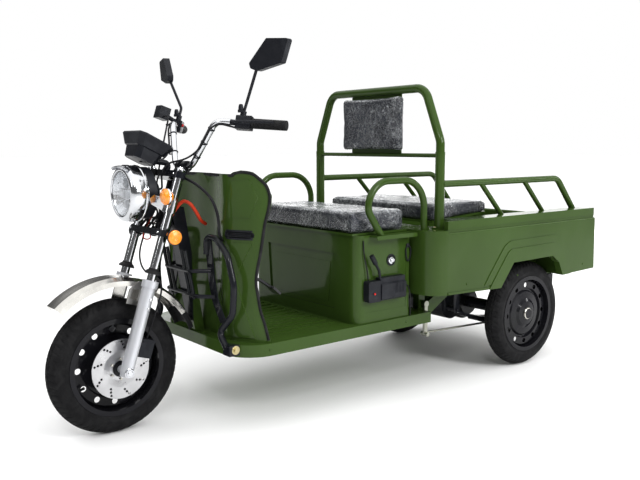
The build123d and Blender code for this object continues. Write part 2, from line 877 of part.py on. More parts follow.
def make_chassis():
    """Head tube, down tube, floor rails that kick up to the bed rails, and cross members."""
    bottom = lower_clamp_height + clamp_thickness + 3
    top = upper_clamp_height - 3
    head = axis_rod(stem_radius + head_tube_wall, bottom, top)
    neck = fork_point(0, steering_offset + 22, bottom + 48)
    foot_z = floor_underside + 4
    neck_low = neck.Z - 30
    neck_high = neck.Z + 40
    foot_high = foot_z + 36
    down = side_view([
        (down_tube_line(neck_high, True), neck_high),
        (down_tube_line(neck_high, False), neck_high),
        (down_tube_line(foot_high, False), foot_high),
        (down_tube_line(foot_high, False), foot_z),
        (down_tube_line(foot_high, True), foot_z),
        (down_tube_line(foot_high, True), foot_high),
        (down_tube_line(neck_low, True), neck_low),
    ], -down_tube_half_width, down_tube_half_width)
    clamp_room = stem_radius + clamp_margin + moving_gap
    down -= axis_rod(clamp_room, lower_clamp_height - 60, bottom)
    down -= axis_rod(clamp_room, top, top + 200)
    frame = head + down
    frame -= axis_rod(stem_radius + running_gap, bottom - 100, top + 200)
    rail_top = floor_top - floor_wall
    rail_low = rail_top - rail_height
    kick_front = ahead(floor_rear_ahead) + 2
    kick_rear = ahead(arch_front_ahead + 112)
    rear_top = rear_rail_bottom + rear_rail_height
    rail_end = rear_axle_y + rear_overhang - tailgate_thickness - 8
    front_end = down_tube_line(foot_high, True)
    rail = side_view([
        (front_end, rail_low),
        (front_end, rail_top),
        (kick_front, rail_top),
        (kick_rear, rear_top),
        (rail_end, rear_top),
        (rail_end, rear_rail_bottom),
        (kick_rear + 20, rear_rail_bottom),
        (kick_front + 40, rail_low),
    ], rail_side - rail_width / 2, rail_side + rail_width / 2)
    base = rail + mirrored(rail)
    reach = rail_side + rail_width / 2 - 2
    for y in (front_end + 4, ahead(box_front_ahead), kick_front - 30):
        base += block(-reach, reach, y, y + 34, rail_low, rail_top - 4)
    frame += base & floor_room()
    wide = bed_half_width - bed_wall - 8
    for y in (
        kick_front,
        ahead(arch_front_ahead + 50),
        rear_axle_y + arch_rear_behind + 20,
        rail_end - 36,
    ):
        frame += block(-wide, wide, y, y + 34, rear_top - 8, bed_floor_bottom)
    for side in (-1, 1):
        x0 = side * rail_side - 16
        frame += block(x0, x0 + 32, kick_front, kick_front + 34, rail_top - 20, bed_floor_bottom - 4)
    plate = block(-95, 95, rail_end - 3, rail_end + 3, rear_rail_bottom - 26, rear_top)
    for x in (-60, 60):
        plate -= Pos(x, rail_end, rear_rail_bottom - 8) * Rotation(90, 0, 0) * Cylinder(3.5, 40)
    return frame + plate


def make_spring_hangers():
    """Left pair of spring hangers: two plates and a cross plate welded under the bed rail."""
    eye_z = leaf_low() + leaf_sag
    inner_x = rail_side - leaf_width / 2 - seat_gap - hanger_plate
    outer_x = rail_side + leaf_width / 2 + seat_gap
    top = rear_rail_bottom - seat_gap
    hangers = []
    for y in (rear_axle_y - leaf_half_length, rear_axle_y + leaf_half_length):
        hanger = block(inner_x, outer_x + hanger_plate, y - 18, y + 18, top - hanger_plate, top)
        for x in (inner_x, outer_x):
            hanger += side_view([
                (y - 18, top),
                (y + 18, top),
                (y + 14, eye_z - 14),
                (y - 14, eye_z - 14),
            ], x, x + hanger_plate)
        hanger += Pos(rail_side, y, eye_z) * cross_bore(leaf_eye_radius - 5, leaf_width + 24)
        hangers.append(hanger)
    return Compound(children=hangers)


def leaf_low():
    """Height of the leaf springs' main leaf under the axle tube."""
    return tyre_radius - axle_tube_radius - seat_gap


def make_leaf_spring():
    """One leaf spring under the axle: arcs of falling length, with rolled eyes."""
    radius = (leaf_half_length ** 2 + leaf_sag ** 2) / (2 * leaf_sag)
    top = leaf_low()
    centre = Pos(rear_axle_y, top + radius)
    pack = None
    for step in range(leaf_count):
        outer = radius + leaf_thickness * (step + 1)
        inner = radius + leaf_thickness * step
        half = leaf_half_length * (1 - 0.2 * step)
        ring = centre * (Circle(outer) - Circle(inner))
        window = Pos(rear_axle_y, top) * Rectangle(2 * half, 2.6 * leaf_sag + 40)
        leaf = ring & window
        pack = leaf if pack is None else pack + leaf
    for side in (-1, 1):
        eye = Pos(rear_axle_y + side * leaf_half_length, top + leaf_sag)
        pack += eye * Circle(leaf_eye_radius)
        pack -= eye * Circle(leaf_eye_radius - 5 + seat_gap)
    spring = extrude(Plane.YZ * pack, leaf_width)
    return Pos(rail_side - leaf_width / 2, 0, 0) * spring


def make_rear_axle():
    """Axle tube with its stub ends, brake backing plates and spring clips."""
    reach = wheel_side - drum_inner - moving_gap
    tube_body = cross_bore(axle_tube_radius, 2 * (reach - 2))
    stub = cross_bore(stub_radius, 2 * (wheel_side + hub_cap_reach - 14))
    body = tube_body + stub
    case = turned([
        (-70, 0),
        (-70, differential_radius * 0.7),
        (-40, differential_radius),
        (40, differential_radius),
        (70, differential_radius * 0.7),
        (70, 0),
    ])
    body += case
    for side in (-1, 1):
        plate = turned([(0, 0), (0, drum_radius + 2), (backing_thickness, drum_radius + 2), (backing_thickness, 0)])
        x0 = side * reach - (backing_thickness if side > 0 else 0)
        body += Pos(x0, 0, 0) * plate
    low = -(axle_tube_radius + 2 * seat_gap + leaf_thickness * leaf_count)
    for side in (-1, 1):
        x0 = side * rail_side
        for y in (-axle_tube_radius - 4, axle_tube_radius - 4):
            for edge in (x0 - leaf_width / 2 - 9, x0 + leaf_width / 2 + 1):
                body += block(edge, edge + 8, y, y + 8, low - 2, 0)
        body += block(x0 - leaf_width / 2 - 10, x0 + leaf_width / 2 + 10, -36, 36, low - 6, low)
    return Pos(0, rear_axle_y, tyre_radius) * body


def make_motor():
    """The drive motor, one plain round block ahead of the differential case."""
    distance = differential_radius + motor_radius + seat_gap
    y = rear_axle_y - sqrt(distance ** 2 - motor_rise ** 2)
    return Pos(0, y, tyre_radius + motor_rise) * cross_bore(motor_radius, motor_length)


def make_brake_pedal():
    """Foot brake pedal behind the leg shield: an arm that bends back over, with a narrow pad."""
    x = pedal_side
    y = ahead(pedal_ahead)
    base = floor_top + floor_rib_height + seat_gap
    high = base + pedal_height
    arm = tube([
        (x, y, base),
        (x, y, high),
        (x, y + 56, high - 12),
        (x, y + 116, high - 52),
    ], [24, 40], pedal_arm_radius)
    pad = Pos(x, y + 118, high - 56) * Rotation(-42, 0, 0) * Box(44, 40, 8)
    foot = block(x - 22, x + 22, y - 20, y + 24, base, base + 6)
    return arm + pad + foot


def make_brake_relay():
    """Left relay lever hung from the rail, with the rod back to the rear brake."""
    rail_face = rail_side + rail_width / 2
    x = rail_face + 5
    y = ahead(floor_rear_ahead - 26)
    top = floor_top + 19
    low = top - relay_length
    lever = block(x, x + 10, y - 9, y + 9, low - 2, top + 10)
    lever += Pos((rail_face + seat_gap + x + 12) / 2, y, top) * cross_bore(13, x + 12 - rail_face - seat_gap)
    lever += Pos(x + 5, y, low) * cross_bore(9, 34)
    end_y = rear_axle_y - 74
    rod_z = low + 6
    lever += rod((x + 5, y, rod_z), (x + 5, end_y + 4, rod_z - 18), 4)
    lever += rod((x + 5, end_y, rod_z - 22), (x + 5, end_y, tyre_radius + 12), 5)
    plate_face = wheel_side - drum_inner - moving_gap - backing_thickness - seat_gap
    lever += rod((x + 4, end_y, tyre_radius + 6), (plate_face, end_y, tyre_radius + 6), 5)
    return lever


# Floor, shield and guards ------------------------------------------------------------------------------


def floor_outline():
    """Plan of the footboard: a rectangle with rounded front corners."""
    front = ahead(floor_front_ahead)
    rear = ahead(floor_rear_ahead)
    outline = Pos(0, (front + rear) / 2) * Rectangle(2 * floor_half_width, rear - front)
    return fillet(outline.vertices().sort_by(Axis.Y)[:2], floor_corner_radius)


def floor_room():
    """The space inside the footboard's skirt, open to the rear."""
    rear = ahead(floor_rear_ahead)
    inner = offset(floor_outline(), amount=-floor_wall - seat_gap)
    room = extrude(inner, 2 * bed_rim_height)
    return room + block(-floor_half_width, floor_half_width, rear - 40, 2 * wheelbase, 0, 2 * bed_rim_height)


def make_floor():
    """Footboard pan: flat ribbed top, folded skirt, rounded front corners."""
    outline = floor_outline()
    inner = offset(outline, amount=-floor_wall)
    pan = Pos(0, 0, floor_underside) * extrude(outline, floor_top - floor_underside)
    pan -= Pos(0, 0, floor_underside - 1) * extrude(inner, floor_top - floor_underside - floor_wall + 1)
    rear = ahead(floor_rear_ahead)
    pan -= block(
        -floor_half_width + floor_wall,
        floor_half_width - floor_wall,
        rear - 2 * floor_wall,
        rear + 1,
        floor_underside - 1,
        floor_top - floor_wall,
    )
    start = ahead(shield_wing_ahead - 50)
    rear_rib = ahead(box_front_ahead + 24)
    for step in range(floor_rib_count):
        x = (step - (floor_rib_count - 1) / 2) * floor_rib_pitch
        pan += block(x - 7, x + 7, start, rear_rib, floor_top - 1, floor_top + floor_rib_height)
    room = down_tube_half_width + seat_gap
    slot_rear = down_tube_line(floor_underside + 40, False) + seat_gap
    slot_front = ahead(floor_front_ahead) + floor_wall
    pan -= block(-room, room, slot_front, slot_rear, floor_top - floor_wall - 2, floor_top + 10)
    return pan


def shield_outline():
    """Front outline of the leg shield's left half, from the top centre round to the foot."""
    half = shield_half_width
    low = floor_top + seat_gap
    edge = [
        (0, 8),
        (0.66, 8),
        (0.7, 0),
        (0.78, -6),
        (0.88, -1),
        (0.945, 20),
        (0.98, 45),
        (0.997, 77),
        (0.995, 107),
        (0.985, 137),
        (0.97, 173),
        (0.955, 223),
        (0.938, 273),
        (0.922, 306),
        (0.908, 340),
        (0.904, 373),
        (0.917, 407),
        (0.935, 458),
        (0.965, 509),
        (0.985, 560),
    ]
    return [(share * half, shield_top - drop) for share, drop in edge] + [(0.985 * half, low), (0, low)]


def make_leg_shield():
    """Pressed leg shield: a flat centre behind the head tube and two wings swept back."""
    half = shield_half_width
    centre = ahead(shield_centre_ahead)
    wing = ahead(shield_wing_ahead)
    edge = ahead(shield_edge_ahead)
    outer = [
        (0, centre),
        (half * 0.3, centre),
        (half * 0.46, wing + 4),
        (half * 0.62, wing),
        (half * 0.84, (wing + edge) / 2 - 14),
        (half, edge),
    ]
    line = Spline(*[Vector(x, y, 0) for x, y in outer], tangents=[(1, 0, 0), (0.35, 0.94, 0)])
    back = [(x, y + shield_wall) for x, y in reversed(outer)]
    rear_line = Spline(*[Vector(x, y, 0) for x, y in back], tangents=[(-0.35, -0.94, 0), (-1, 0, 0)])
    ends = Line(line @ 1, rear_line @ 0) + Line(rear_line @ 1, line @ 0)
    plan = make_face(line + ends + rear_line)
    band = extrude(plan, shield_top + 100)
    cut = front_view(shield_outline(), centre - 200, edge + 300)
    left = band & cut
    flute = front_view([
        (half * 0.66, shield_vent_height - 26),
        (half * 0.88, shield_vent_height - 26),
        (half * 0.72, shield_top - 350),
        (half * 0.78, shield_top - 437),
        (half * 0.9, floor_top + 14),
        (half * 0.62, floor_top + 14),
        (half * 0.58, shield_top - 430),
    ], centre - 200, edge + 300)
    raised = Pos(0, -shield_press_depth, 0) * band
    left += raised & flute
    brow = front_view([
        (half * 0.68, shield_top - 30),
        (half * 0.86, shield_top - 24),
        (half * 0.93, shield_top - 82),
        (half * 0.86, shield_top - 150),
        (half * 0.62, shield_top - 150),
    ], centre - 200, edge + 300)
    left += raised & brow
    vent_x = (shield_vent_inner + shield_vent_outer) / 2
    vent = Pos(vent_x, 0, shield_vent_height) * Rotation(90, 0, 0)
    vent *= SlotOverall(shield_vent_outer - shield_vent_inner, shield_vent_width)
    left -= extrude(vent, 2 * shield_centre_ahead, both=True)
    return left + mirrored(left)


def make_guards():
    """Crash guards: a round loop each side with a flat inner bar, joined by grille bars."""
    y_top = ahead(guard_top_ahead)
    y_low = ahead(guard_foot_ahead)
    foot_z = floor_underside + 30
    top_z = guard_top_height
    loop = tube([
        (guard_crown_side, y_top, top_z - 60),
        (guard_crown_side, y_top, top_z),
        (guard_shoulder_side, y_top, top_z),
        (guard_elbow_side, y_top, guard_elbow_height),
        (guard_hip_side, y_top, guard_hip_height),
        (guard_shin_side, y_top, guard_shin_height),
        (guard_knee_side, y_low + 4, guard_knee_height),
        (guard_foot_side, y_low, foot_z),
    ], [26, 50, 80, 120, 60, 24], guard_radius)
    edge = [
        (guard_crown_side - 6, top_z - 12),
        (guard_crown_side + 12, guard_hip_height),
        (guard_crown_side + 36, guard_hip_height - 72),
        (guard_knee_side - 26, guard_knee_height + 26),
    ]
    width = guard_strip_width
    outline = edge + [(x + width, z + 4) for x, z in reversed(edge)]
    strip_y = y_top - guard_strip_thickness / 2
    inner = front_view(outline, strip_y, strip_y + guard_strip_thickness)
    foot = block(
        guard_foot_side - 17,
        guard_foot_side + 24,
        y_low - 5,
        ahead(floor_front_ahead) + 60,
        foot_z - 22,
        foot_z + 14,
    )
    foot -= extrude(offset(floor_outline(), amount=seat_gap), 2 * floor_top)
    left = loop + inner + foot
    body = left + mirrored(left)
    bar_gap = guard_bar_radius + seat_gap
    for z, half in (
        (grille_upper_height, grille_upper_half_width),
        (grille_lower_height, grille_lower_half_width),
    ):
        y = down_tube_line(z, True) - bar_gap
        end_y = y_top
        bar = tube([
            (-half, end_y, z),
            (-half * 0.7, y, z),
            (half * 0.7, y, z),
            (half, end_y, z),
        ], [20, 20], guard_bar_radius)
        body += bar
    low_z = grille_lower_height - 13
    high_z = grille_upper_height + 72
    for share in (-0.62, -0.4, 0.4, 0.62):
        x = share * grille_upper_half_width
        start = (x, down_tube_line(low_z, True) - bar_gap, low_z)
        end = (x, down_tube_line(high_z, True) - bar_gap, high_z)
        body += rod(start, end, guard_bar_radius - 1)
    return body


# Seat ------------------------------------------------------------------------------------------------------


def make_seat_box():
    """Hollow seat box: rounded front corners, an inset front panel, side lips and hinge ears."""
    front = ahead(box_front_ahead)
    rear = ahead(box_rear_ahead)
    low = floor_top
    half = box_half_width
    plan = Pos(0, (front + rear) / 2) * Rectangle(2 * half, rear - front)
    plan = fillet(plan.vertices().sort_by(Axis.Y)[:2], box_corner_radius)
    hollow = offset(plan, amount=-box_wall)
    shell = Pos(0, 0, low) * extrude(plan, box_top - low)
    shell -= Pos(0, 0, low + box_wall) * extrude(hollow, box_top)
    depth = box_panel_depth
    outline = [
        (-panel_top_half, box_top - panel_below_top),
        (panel_top_half, box_top - panel_below_top),
        (panel_low_half, low + panel_over_floor),
        (-panel_low_half, low + panel_over_floor),
    ]
    backing = front_view([(1.03 * x, z) for x, z in outline], front + 1, front + depth + box_wall)
    shell += backing
    shell -= front_view(outline, front - 1, front + depth)
    raised = [(0.8 * x, low + panel_over_floor + 20 + 0.74 * (z - low - panel_over_floor)) for x, z in outline]
    shell += front_view(raised, front + depth - 2, front + depth + 1)
    side_panel = side_view([
        (front + 44, low + 40),
        (front + 44, box_top - 30),
        (rear - 18, box_top - 30),
        (rear - 18, low + 40),
    ], half - 1, half)
    shell -= side_panel
    shell -= mirrored(side_panel)
    hinge_y, hinge_z = lid_hinge()
    for x in (-lid_hinge_side, lid_hinge_side):
        shell += Pos(x, hinge_y, hinge_z) * cross_bore(lid_pin_radius, 72)
        for edge in (x - 36, x + 31):
            shell += block(edge, edge + 5, rear, hinge_y + lid_hinge_radius, box_top - 20, hinge_z + lid_hinge_radius)
    lip_front = ahead(box_front_ahead - 66)
    for side in (-1, 1):
        x0 = side * (half - 1)
        x1 = side * (half + lip_width)
        shell += block(x0, x1, lip_front, rear, box_top - 7, box_top - 1)
        shell += block(x1 - side * 3, x1, lip_front, rear, box_top - 16, box_top - 1)
    return shell


def make_armrest():
    """Left armrest loop: front foot on the box's lip, rear foot on the bed's front shelf."""
    x = armrest_side
    seat = box_top - 1 + seat_gap
    foot_y = ahead(armrest_foot_ahead)
    knee_y = ahead(armrest_knee_ahead)
    rear_y = ahead(bed_front_ahead - 42)
    knee_z = (seat + armrest_top) / 2
    drop = 30.0
    sink_y = foot_y + (foot_y - knee_y) * drop / (knee_z - seat)
    loop = tube([
        (x, sink_y, seat - drop),
        (x, knee_y, knee_z),
        (x, knee_y + 34, armrest_top),
        (x, rear_y, armrest_top),
        (x, rear_y, bed_shelf_height + seat_gap),
    ], [58, 98, 108], armrest_radius)
    return loop - block(x - 40, x + 40, sink_y - 60, sink_y + 30, seat - 2 * drop, seat)


def lid_hinge():
    """Centre of the seat's hinge line: (y, z)."""
    return ahead(box_rear_ahead) + lid_hinge_radius + 1.5, box_top + lid_thickness


def make_seat_lid():
    """The board under the driver's cushion, with its hinge barrel at the rear."""
    front = ahead(box_front_ahead + cushion_overhang - 8)
    hinge_y, hinge_z = lid_hinge()
    half = box_half_width - 12
    low = box_top + seat_gap
    rear = ahead(box_rear_ahead) - box_wall
    board = block(-half, half, front, rear, low, hinge_z)
    for x in (-lid_hinge_side, lid_hinge_side):
        board += Pos(x, hinge_y, hinge_z) * cross_bore(lid_hinge_radius, 60)
        board += block(x - 30, x + 30, rear - 2, hinge_y, hinge_z - lid_hinge_radius, hinge_z)
        board -= Pos(x, hinge_y, hinge_z) * cross_bore(lid_pin_radius + running_gap, 80)
    return board


def make_driver_cushion():
    """Driver's cushion, a plain pad on the lid."""
    front = ahead(box_front_ahead + cushion_overhang)
    rear = ahead(box_rear_ahead) - moving_gap
    low = box_top + lid_thickness + seat_gap
    half = box_half_width - 5
    pad = block(-half, half, front, rear, low, low + cushion_height)
    return fillet(pad.edges().group_by(Axis.Z)[-1] + pad.edges().filter_by(Axis.Z), 16)


def make_hand_lever():
    """Shift and parking lever in its black housing on the box's left side."""
    x = box_half_width + seat_gap
    y0 = ahead(lever_front_ahead)
    y1 = ahead(lever_rear_ahead)
    low = lever_box_bottom
    top = low + lever_box_height
    gate_y = y0 + 62
    housing = block(x, x + lever_box_depth, gate_y, y1, low, top)
    housing += block(x, x + lever_box_depth - 8, gate_y, y1, top - 2, top + 20)
    housing = chamfer(housing.edges().filter_by(Axis.Y).group_by(Axis.X)[-1], 5)
    gate = block(x, x + lever_box_depth - 4, y0, gate_y + 1, low - 2, top + 12)
    gate = fillet(gate.edges().filter_by(Axis.X), 8)
    housing += gate
    axis_x = x + lever_box_depth * 0.6
    housing += Pos(axis_x, y0 + 46, low + 22) * cross_bore(15, 8)
    lean = lever_knob_height - top
    lever = tube([
        (axis_x, gate_y + 8, top - 12),
        (axis_x + 3, gate_y - 6, top + lean * 0.45),
        (axis_x + 3, gate_y - 42, lever_knob_height - 3),
    ], [30], 5)
    knob = rod((axis_x + 3, gate_y - 24, lever_knob_height - 31), (axis_x + 3, gate_y - 44, lever_knob_height), 9)
    return housing + lever + knob


def make_battery():
    """The battery pack, one plain block on the floor of the seat box."""
    front = ahead(box_front_ahead - battery_behind_front)
    low = floor_top + box_wall + seat_gap
    half = battery_half_width
    return block(-half, half, front, front + battery_length, low, low + battery_height)


# Roll bar and back cushion ------------------------------------------------------------------------------------


def make_roll_bar():
    """Hoop on the bed's front shelf with a thin back rail and the back cushion's plate."""
    y = ahead(roll_bar_ahead)
    half = roll_bar_half_width
    foot = bed_shelf_height + seat_gap
    top_half = roll_bar_top_half_width
    hoop = tube([
        (-half, y, foot),
        (-half, y, roll_bar_shoulder_height),
        (-top_half, y, roll_bar_top),
        (top_half, y, roll_bar_top),
        (half, y, roll_bar_shoulder_height),
        (half, y, foot),
    ], roll_bar_bend, roll_bar_radius)
    rail = rod((-half, y, back_rail_height), (half, y, back_rail_height), back_rail_radius)
    plate = block(-150, 150, y + 3, y + 8, back_rail_height - 4, roll_bar_top)
    feet = None
    for side in (-1, 1):
        flange = Pos(side * half, y, foot) * Cylinder(roll_bar_radius + 12, 5, align=(Align.CENTER,) * 2 + (Align.MIN,))
        feet = flange if feet is None else feet + flange
    body = hoop + rail + plate + feet
    for side in (-1, 1):
        sleeve = Pos(side * half, y, foot) * Cylinder(
            roll_bar_radius + 2, back_rail_height - foot + 14, align=(Align.CENTER,) * 2 + (Align.MIN,)
        )
        body += sleeve
    return body


def make_back_cushion():
    """Back cushion, a plain pad in front of the hoop's plate."""
    rear = ahead(roll_bar_ahead) + 3 - seat_gap
    half = back_cushion_half_width
    pad = block(-half, half, rear - back_cushion_thickness, rear, back_cushion_bottom, back_cushion_top)
    return fillet(pad.edges().group_by(Axis.Y)[0] + pad.edges().filter_by(Axis.Y), 12)


# Cargo bed ---------------------------------------------------------------------------------------------------


def bed_side_outline():
    """Side view of a bed side behind its front corner, with the wheel arch cut in."""
    seam = ahead(bed_front_ahead) + bed_corner_radius
    tail = rear_axle_y + rear_overhang
    return [
        (seam, bed_bottom),
        (ahead(arch_front_ahead), bed_bottom - 9),
        (ahead(arch_knee_ahead), arch_height - 3),
        (rear_axle_y + arch_flat_behind, arch_height),
        (rear_axle_y + arch_shoulder_behind, arch_height - 33),
        (rear_axle_y + arch_rear_behind, bed_bottom - 2),
        (tail, bed_bottom + 4),
        (tail - 6, bed_bead_height),
        (seam, bed_bead_height),
    ]


def arch_face():
    """The wheel arch's opening in the side view, open to below the bed."""
    low = bed_bottom - 60
    points = [
        (ahead(arch_front_ahead) - 40, low),
        (ahead(arch_front_ahead), bed_bottom - 9),
        (ahead(arch_knee_ahead), arch_height - 3),
        (rear_axle_y + arch_flat_behind, arch_height),
        (rear_axle_y + arch_shoulder_behind, arch_height - 33),
        (rear_axle_y + arch_rear_behind, bed_bottom - 2),
        (rear_axle_y + arch_rear_behind + 12, low),
    ]
    return make_face(Polyline(*points, close=True))


def make_bed_side():
    """Left side of the bed: wall with wheel arch, bead, raised rim and a flare in two steps."""
    outer = bed_half_width
    inner = outer - bed_wall
    outline = bed_side_outline()
    wall = side_view(outline, inner, outer)
    seam = ahead(bed_front_ahead) + bed_corner_radius
    tail = rear_axle_y + rear_overhang
    panel = make_face(Polyline(*outline, close=True))
    arch = arch_face()
    field = Pos((seam + tail) / 2, (bed_bottom + bed_bead_height) / 2)
    field *= Rectangle(tail - seam - 24, bed_bead_height - bed_bottom - 24)
    for width, rise in ((arch_flare_width + arch_step_width, arch_flare_rise / 2), (arch_flare_width, arch_flare_rise)):
        band = (offset(arch, amount=width) & panel) - arch
        band = band & field if width > arch_flare_width else band
        wall += Pos(outer - 1, 0, 0) * extrude(Plane.YZ * band, rise + 1)
    lip = side_view([
        (seam, bed_bottom),
        (ahead(arch_front_ahead), bed_bottom - 9),
        (ahead(arch_front_ahead) + 8, bed_bottom + 1),
        (seam, bed_bottom + 10),
    ], outer - 2, outer + 3)
    wall += lip
    bead = rod((outer - 7, seam, bed_bead_height), (outer - 7, tail - 6, bed_bead_height), 7)
    wall += bead
    wall += block(inner, outer - 7, seam, tail - 8, bed_bead_height - 4, bed_bead_height + 20)
    wall += block(inner, inner + bed_rim_width, seam, tail - 10, bed_bead_height + 18, bed_rim_height)
    ledge_front = ahead(roll_bar_ahead) + roll_bar_radius + 2 + moving_gap
    ledge_inner = inner + bed_rim_width - bed_ledge_width
    wall += block(ledge_inner, inner + 1, ledge_front, tail - 40, bed_rim_height - bed_ledge_thickness, bed_rim_height)
    return wall


def make_bed_front():
    """Front wall of the bed with its rounded corners and the shelf on top."""
    front = ahead(bed_front_ahead)
    half = bed_half_width
    seam = front + bed_corner_radius
    plan = Pos(0, (front + seam) / 2) * Rectangle(2 * half, bed_corner_radius)
    plan = fillet(plan.vertices().sort_by(Axis.Y)[:2], bed_corner_radius - 0.01)
    hollow = Pos(0, (front + bed_wall + seam + 40) / 2) * Rectangle(2 * (half - bed_wall), bed_corner_radius + 40 - bed_wall)
    hollow = fillet(hollow.vertices().sort_by(Axis.Y)[:2], bed_corner_radius - bed_wall)
    wall = Pos(0, 0, bed_bottom) * extrude(plan - hollow, bed_bead_height - bed_bottom)
    rim = Pos(0, 0, bed_bead_height - 1) * extrude(plan, bed_shelf_height - bed_bead_height + 1)
    shelf = block(-half + bed_wall, half - bed_wall, seam - 1, front + bed_shelf_depth, bed_shelf_height - 6, bed_shelf_height)
    body = wall + rim + shelf
    return body


def make_bed_floor():
    """Bed floor with a box-shaped wheel house over each rear tyre and the rear sill."""
    wide = bed_half_width - bed_wall - seat_gap
    front = ahead(bed_front_ahead) + bed_wall + seat_gap
    rear = rear_axle_y + rear_overhang - tailgate_thickness - tailgate_gap
    low = bed_floor_bottom
    top = low + bed_floor_thickness
    plate_front = ahead(bed_front_ahead) + bed_corner_radius
    floor = block(-wide, wide, plate_front, rear, low, top)
    floor += block(-wide + 60, wide - 60, front, plate_front + 1, low, top)
    house_front = ahead(arch_front_ahead)
    house_rear = rear_axle_y + arch_rear_behind + 14
    for side in (-1, 1):
        x0 = side * wheel_house_inner
        x1 = side * wide
        outer = block(x0, x1, house_front, house_rear, low, wheel_house_top + wheel_house_wall)
        wall = wheel_house_wall
        inner = block(x0 + side * wall, x1 + side * 2, house_front + wall, house_rear - wall, low - 1, wheel_house_top)
        floor = floor + outer
        floor -= inner
    for step in range(-3, 4):
        x = step * 80
        floor += block(x - 12, x + 12, plate_front + 10, rear - 12, top - 1, top + 4)
    return floor


def tailgate_hinge():
    """Centre of the tailgate's hinge line: (y, z)."""
    return rear_axle_y + rear_overhang + 4, bed_floor_bottom + 2


def make_tailgate():
    """Tailgate: a pressed panel with a bead, a ribbed face and hinge barrels at its foot."""
    tail = rear_axle_y + rear_overhang
    half = bed_half_width - bed_wall - tailgate_gap
    hinge_y, hinge_z = tailgate_hinge()
    low = bed_floor_bottom + 12
    gate = block(-half, half, tail - tailgate_thickness, tail - 2, low, bed_bead_height)
    gate += rod((-half, tail - tailgate_thickness / 2, bed_bead_height), (half, tail - tailgate_thickness / 2, bed_bead_height), 10)
    for x0, x1 in ((-half + 40, -24), (24, half - 40)):
        panel = block(x0, x1, tail - 5, tail, low + 40, bed_bead_height - 50)
        gate -= panel
    for x in (-280, 280):
        knuckle = Pos(x, hinge_y, hinge_z) * cross_bore(tailgate_hinge_radius, 50)
        strap = block(x - 25, x + 25, tail - 3, hinge_y + 4, hinge_z - 2, low + 40)
        knuckle += strap
        knuckle -= Pos(x, hinge_y, hinge_z) * cross_bore(4 + running_gap, 60)
        gate += knuckle
    return gate


def make_gate_hinges():
    """Hinge pins of the tailgate, on ears of the rear sill."""
    tail = rear_axle_y + rear_overhang
    hinge_y, hinge_z = tailgate_hinge()
    rear = tail - tailgate_thickness - tailgate_gap
    ears = []
    for x in (-280, 280):
        pin = Pos(x, hinge_y, hinge_z) * cross_bore(4, 84)
        body = pin
        for edge in (x - 42, x + 32):
            body += block(edge, edge + 10, rear, hinge_y + 6, hinge_z - 9, hinge_z + 5)
        ears.append(body)
    return ears


def make_side_rail():
    """Left side rail: a tube back from the hoop's leg, bent down to the bed's ledge, on two struts."""
    x = roll_bar_half_width + rail_outset
    foot = bed_rim_height + seat_gap
    hoop_y = ahead(roll_bar_ahead)
    top = rail_tube_height
    bend_y = rear_axle_y + rail_bend_behind
    foot_y = rear_axle_y + rail_foot_behind
    sink = 0.25
    drop = top - foot
    rail = tube([
        (x, hoop_y + 4, top),
        (x, bend_y, top),
        (x, foot_y + (foot_y - bend_y) * sink, foot - drop * sink),
    ], rail_bend_radius, rail_tube_radius)
    for distance in (rail_front_strut_ahead, rail_rear_strut_ahead):
        top_y = ahead(distance)
        end = (x, top_y + rail_strut_lean * (1 + sink), foot - drop * sink)
        rail += rod((x, top_y, top), end, rail_strut_radius)
    rail -= block(x - 40, x + 40, hoop_y, foot_y + 120, foot - 90, foot)
    leg = Pos(roll_bar_half_width, hoop_y, foot) * Cylinder(roll_bar_radius + 2 + seat_gap, 2 * top)
    return rail - leg


def make_bench():
    """Bench board over the bed's front, on two blocks and two rear legs, and its cushion."""
    front = ahead(bench_front_ahead)
    rear = ahead(bench_rear_ahead)
    low = bed_shelf_height + bench_over_shelf
    top = low + bench_board
    rise = bench_rear_rise
    half = bench_half_width - 14
    board = side_view([
        (front + 10, low),
        (front + 10, top),
        (rear - 10, top + rise),
        (rear - 10, low + rise),
    ], -half, half)
    shelf_rear = ahead(bed_front_ahead) + bed_shelf_depth
    for x in (-half + 20, half - 60):
        support = block(x, x + 40, front + 12, shelf_rear - 2, bed_shelf_height + seat_gap, low + 6)
        board += support
    foot = bed_floor_bottom + bed_floor_thickness + seat_gap
    leg_x = min(half - 30, wheel_house_inner - 24)
    leg_y = rear - 40
    for side in (-1, 1):
        board += rod((side * leg_x, leg_y, foot), (side * leg_x, leg_y, low + rise - 1), 11)
    tie_z = (foot + low) / 2
    board += rod((-leg_x, leg_y, tie_z), (leg_x, leg_y, tie_z), 8)
    under = top + seat_gap
    pad = side_view([
        (front, under),
        (front, under + bench_cushion_height),
        (rear - 30, under + bench_cushion_height + rise * 0.4),
        (rear, under + bench_cushion_height),
        (rear, under + rise * (rear - front) / (rear - front - 20)),
    ], -bench_half_width, bench_half_width)
    pad = fillet(pad.edges().filter_by(Axis.X).group_by(Axis.Z)[-1], 14)
    return board, pad


def make_tail_lamps():
    """Rear lamps on the last cross member, one each side."""
    rear = rear_axle_y + rear_overhang - tailgate_thickness - 8
    top = rear_rail_bottom + rear_rail_height - 8 - seat_gap
    low = top - tail_lamp_height
    lamp = block(tail_lamp_inner, tail_lamp_outer, rear - tail_lamp_depth, rear, low, top)
    lamp = fillet(lamp.edges().filter_by(Axis.Y), 8)
    return both_sides(lamp)


# Cables ----------------------------------------------------------------------------------------------------------


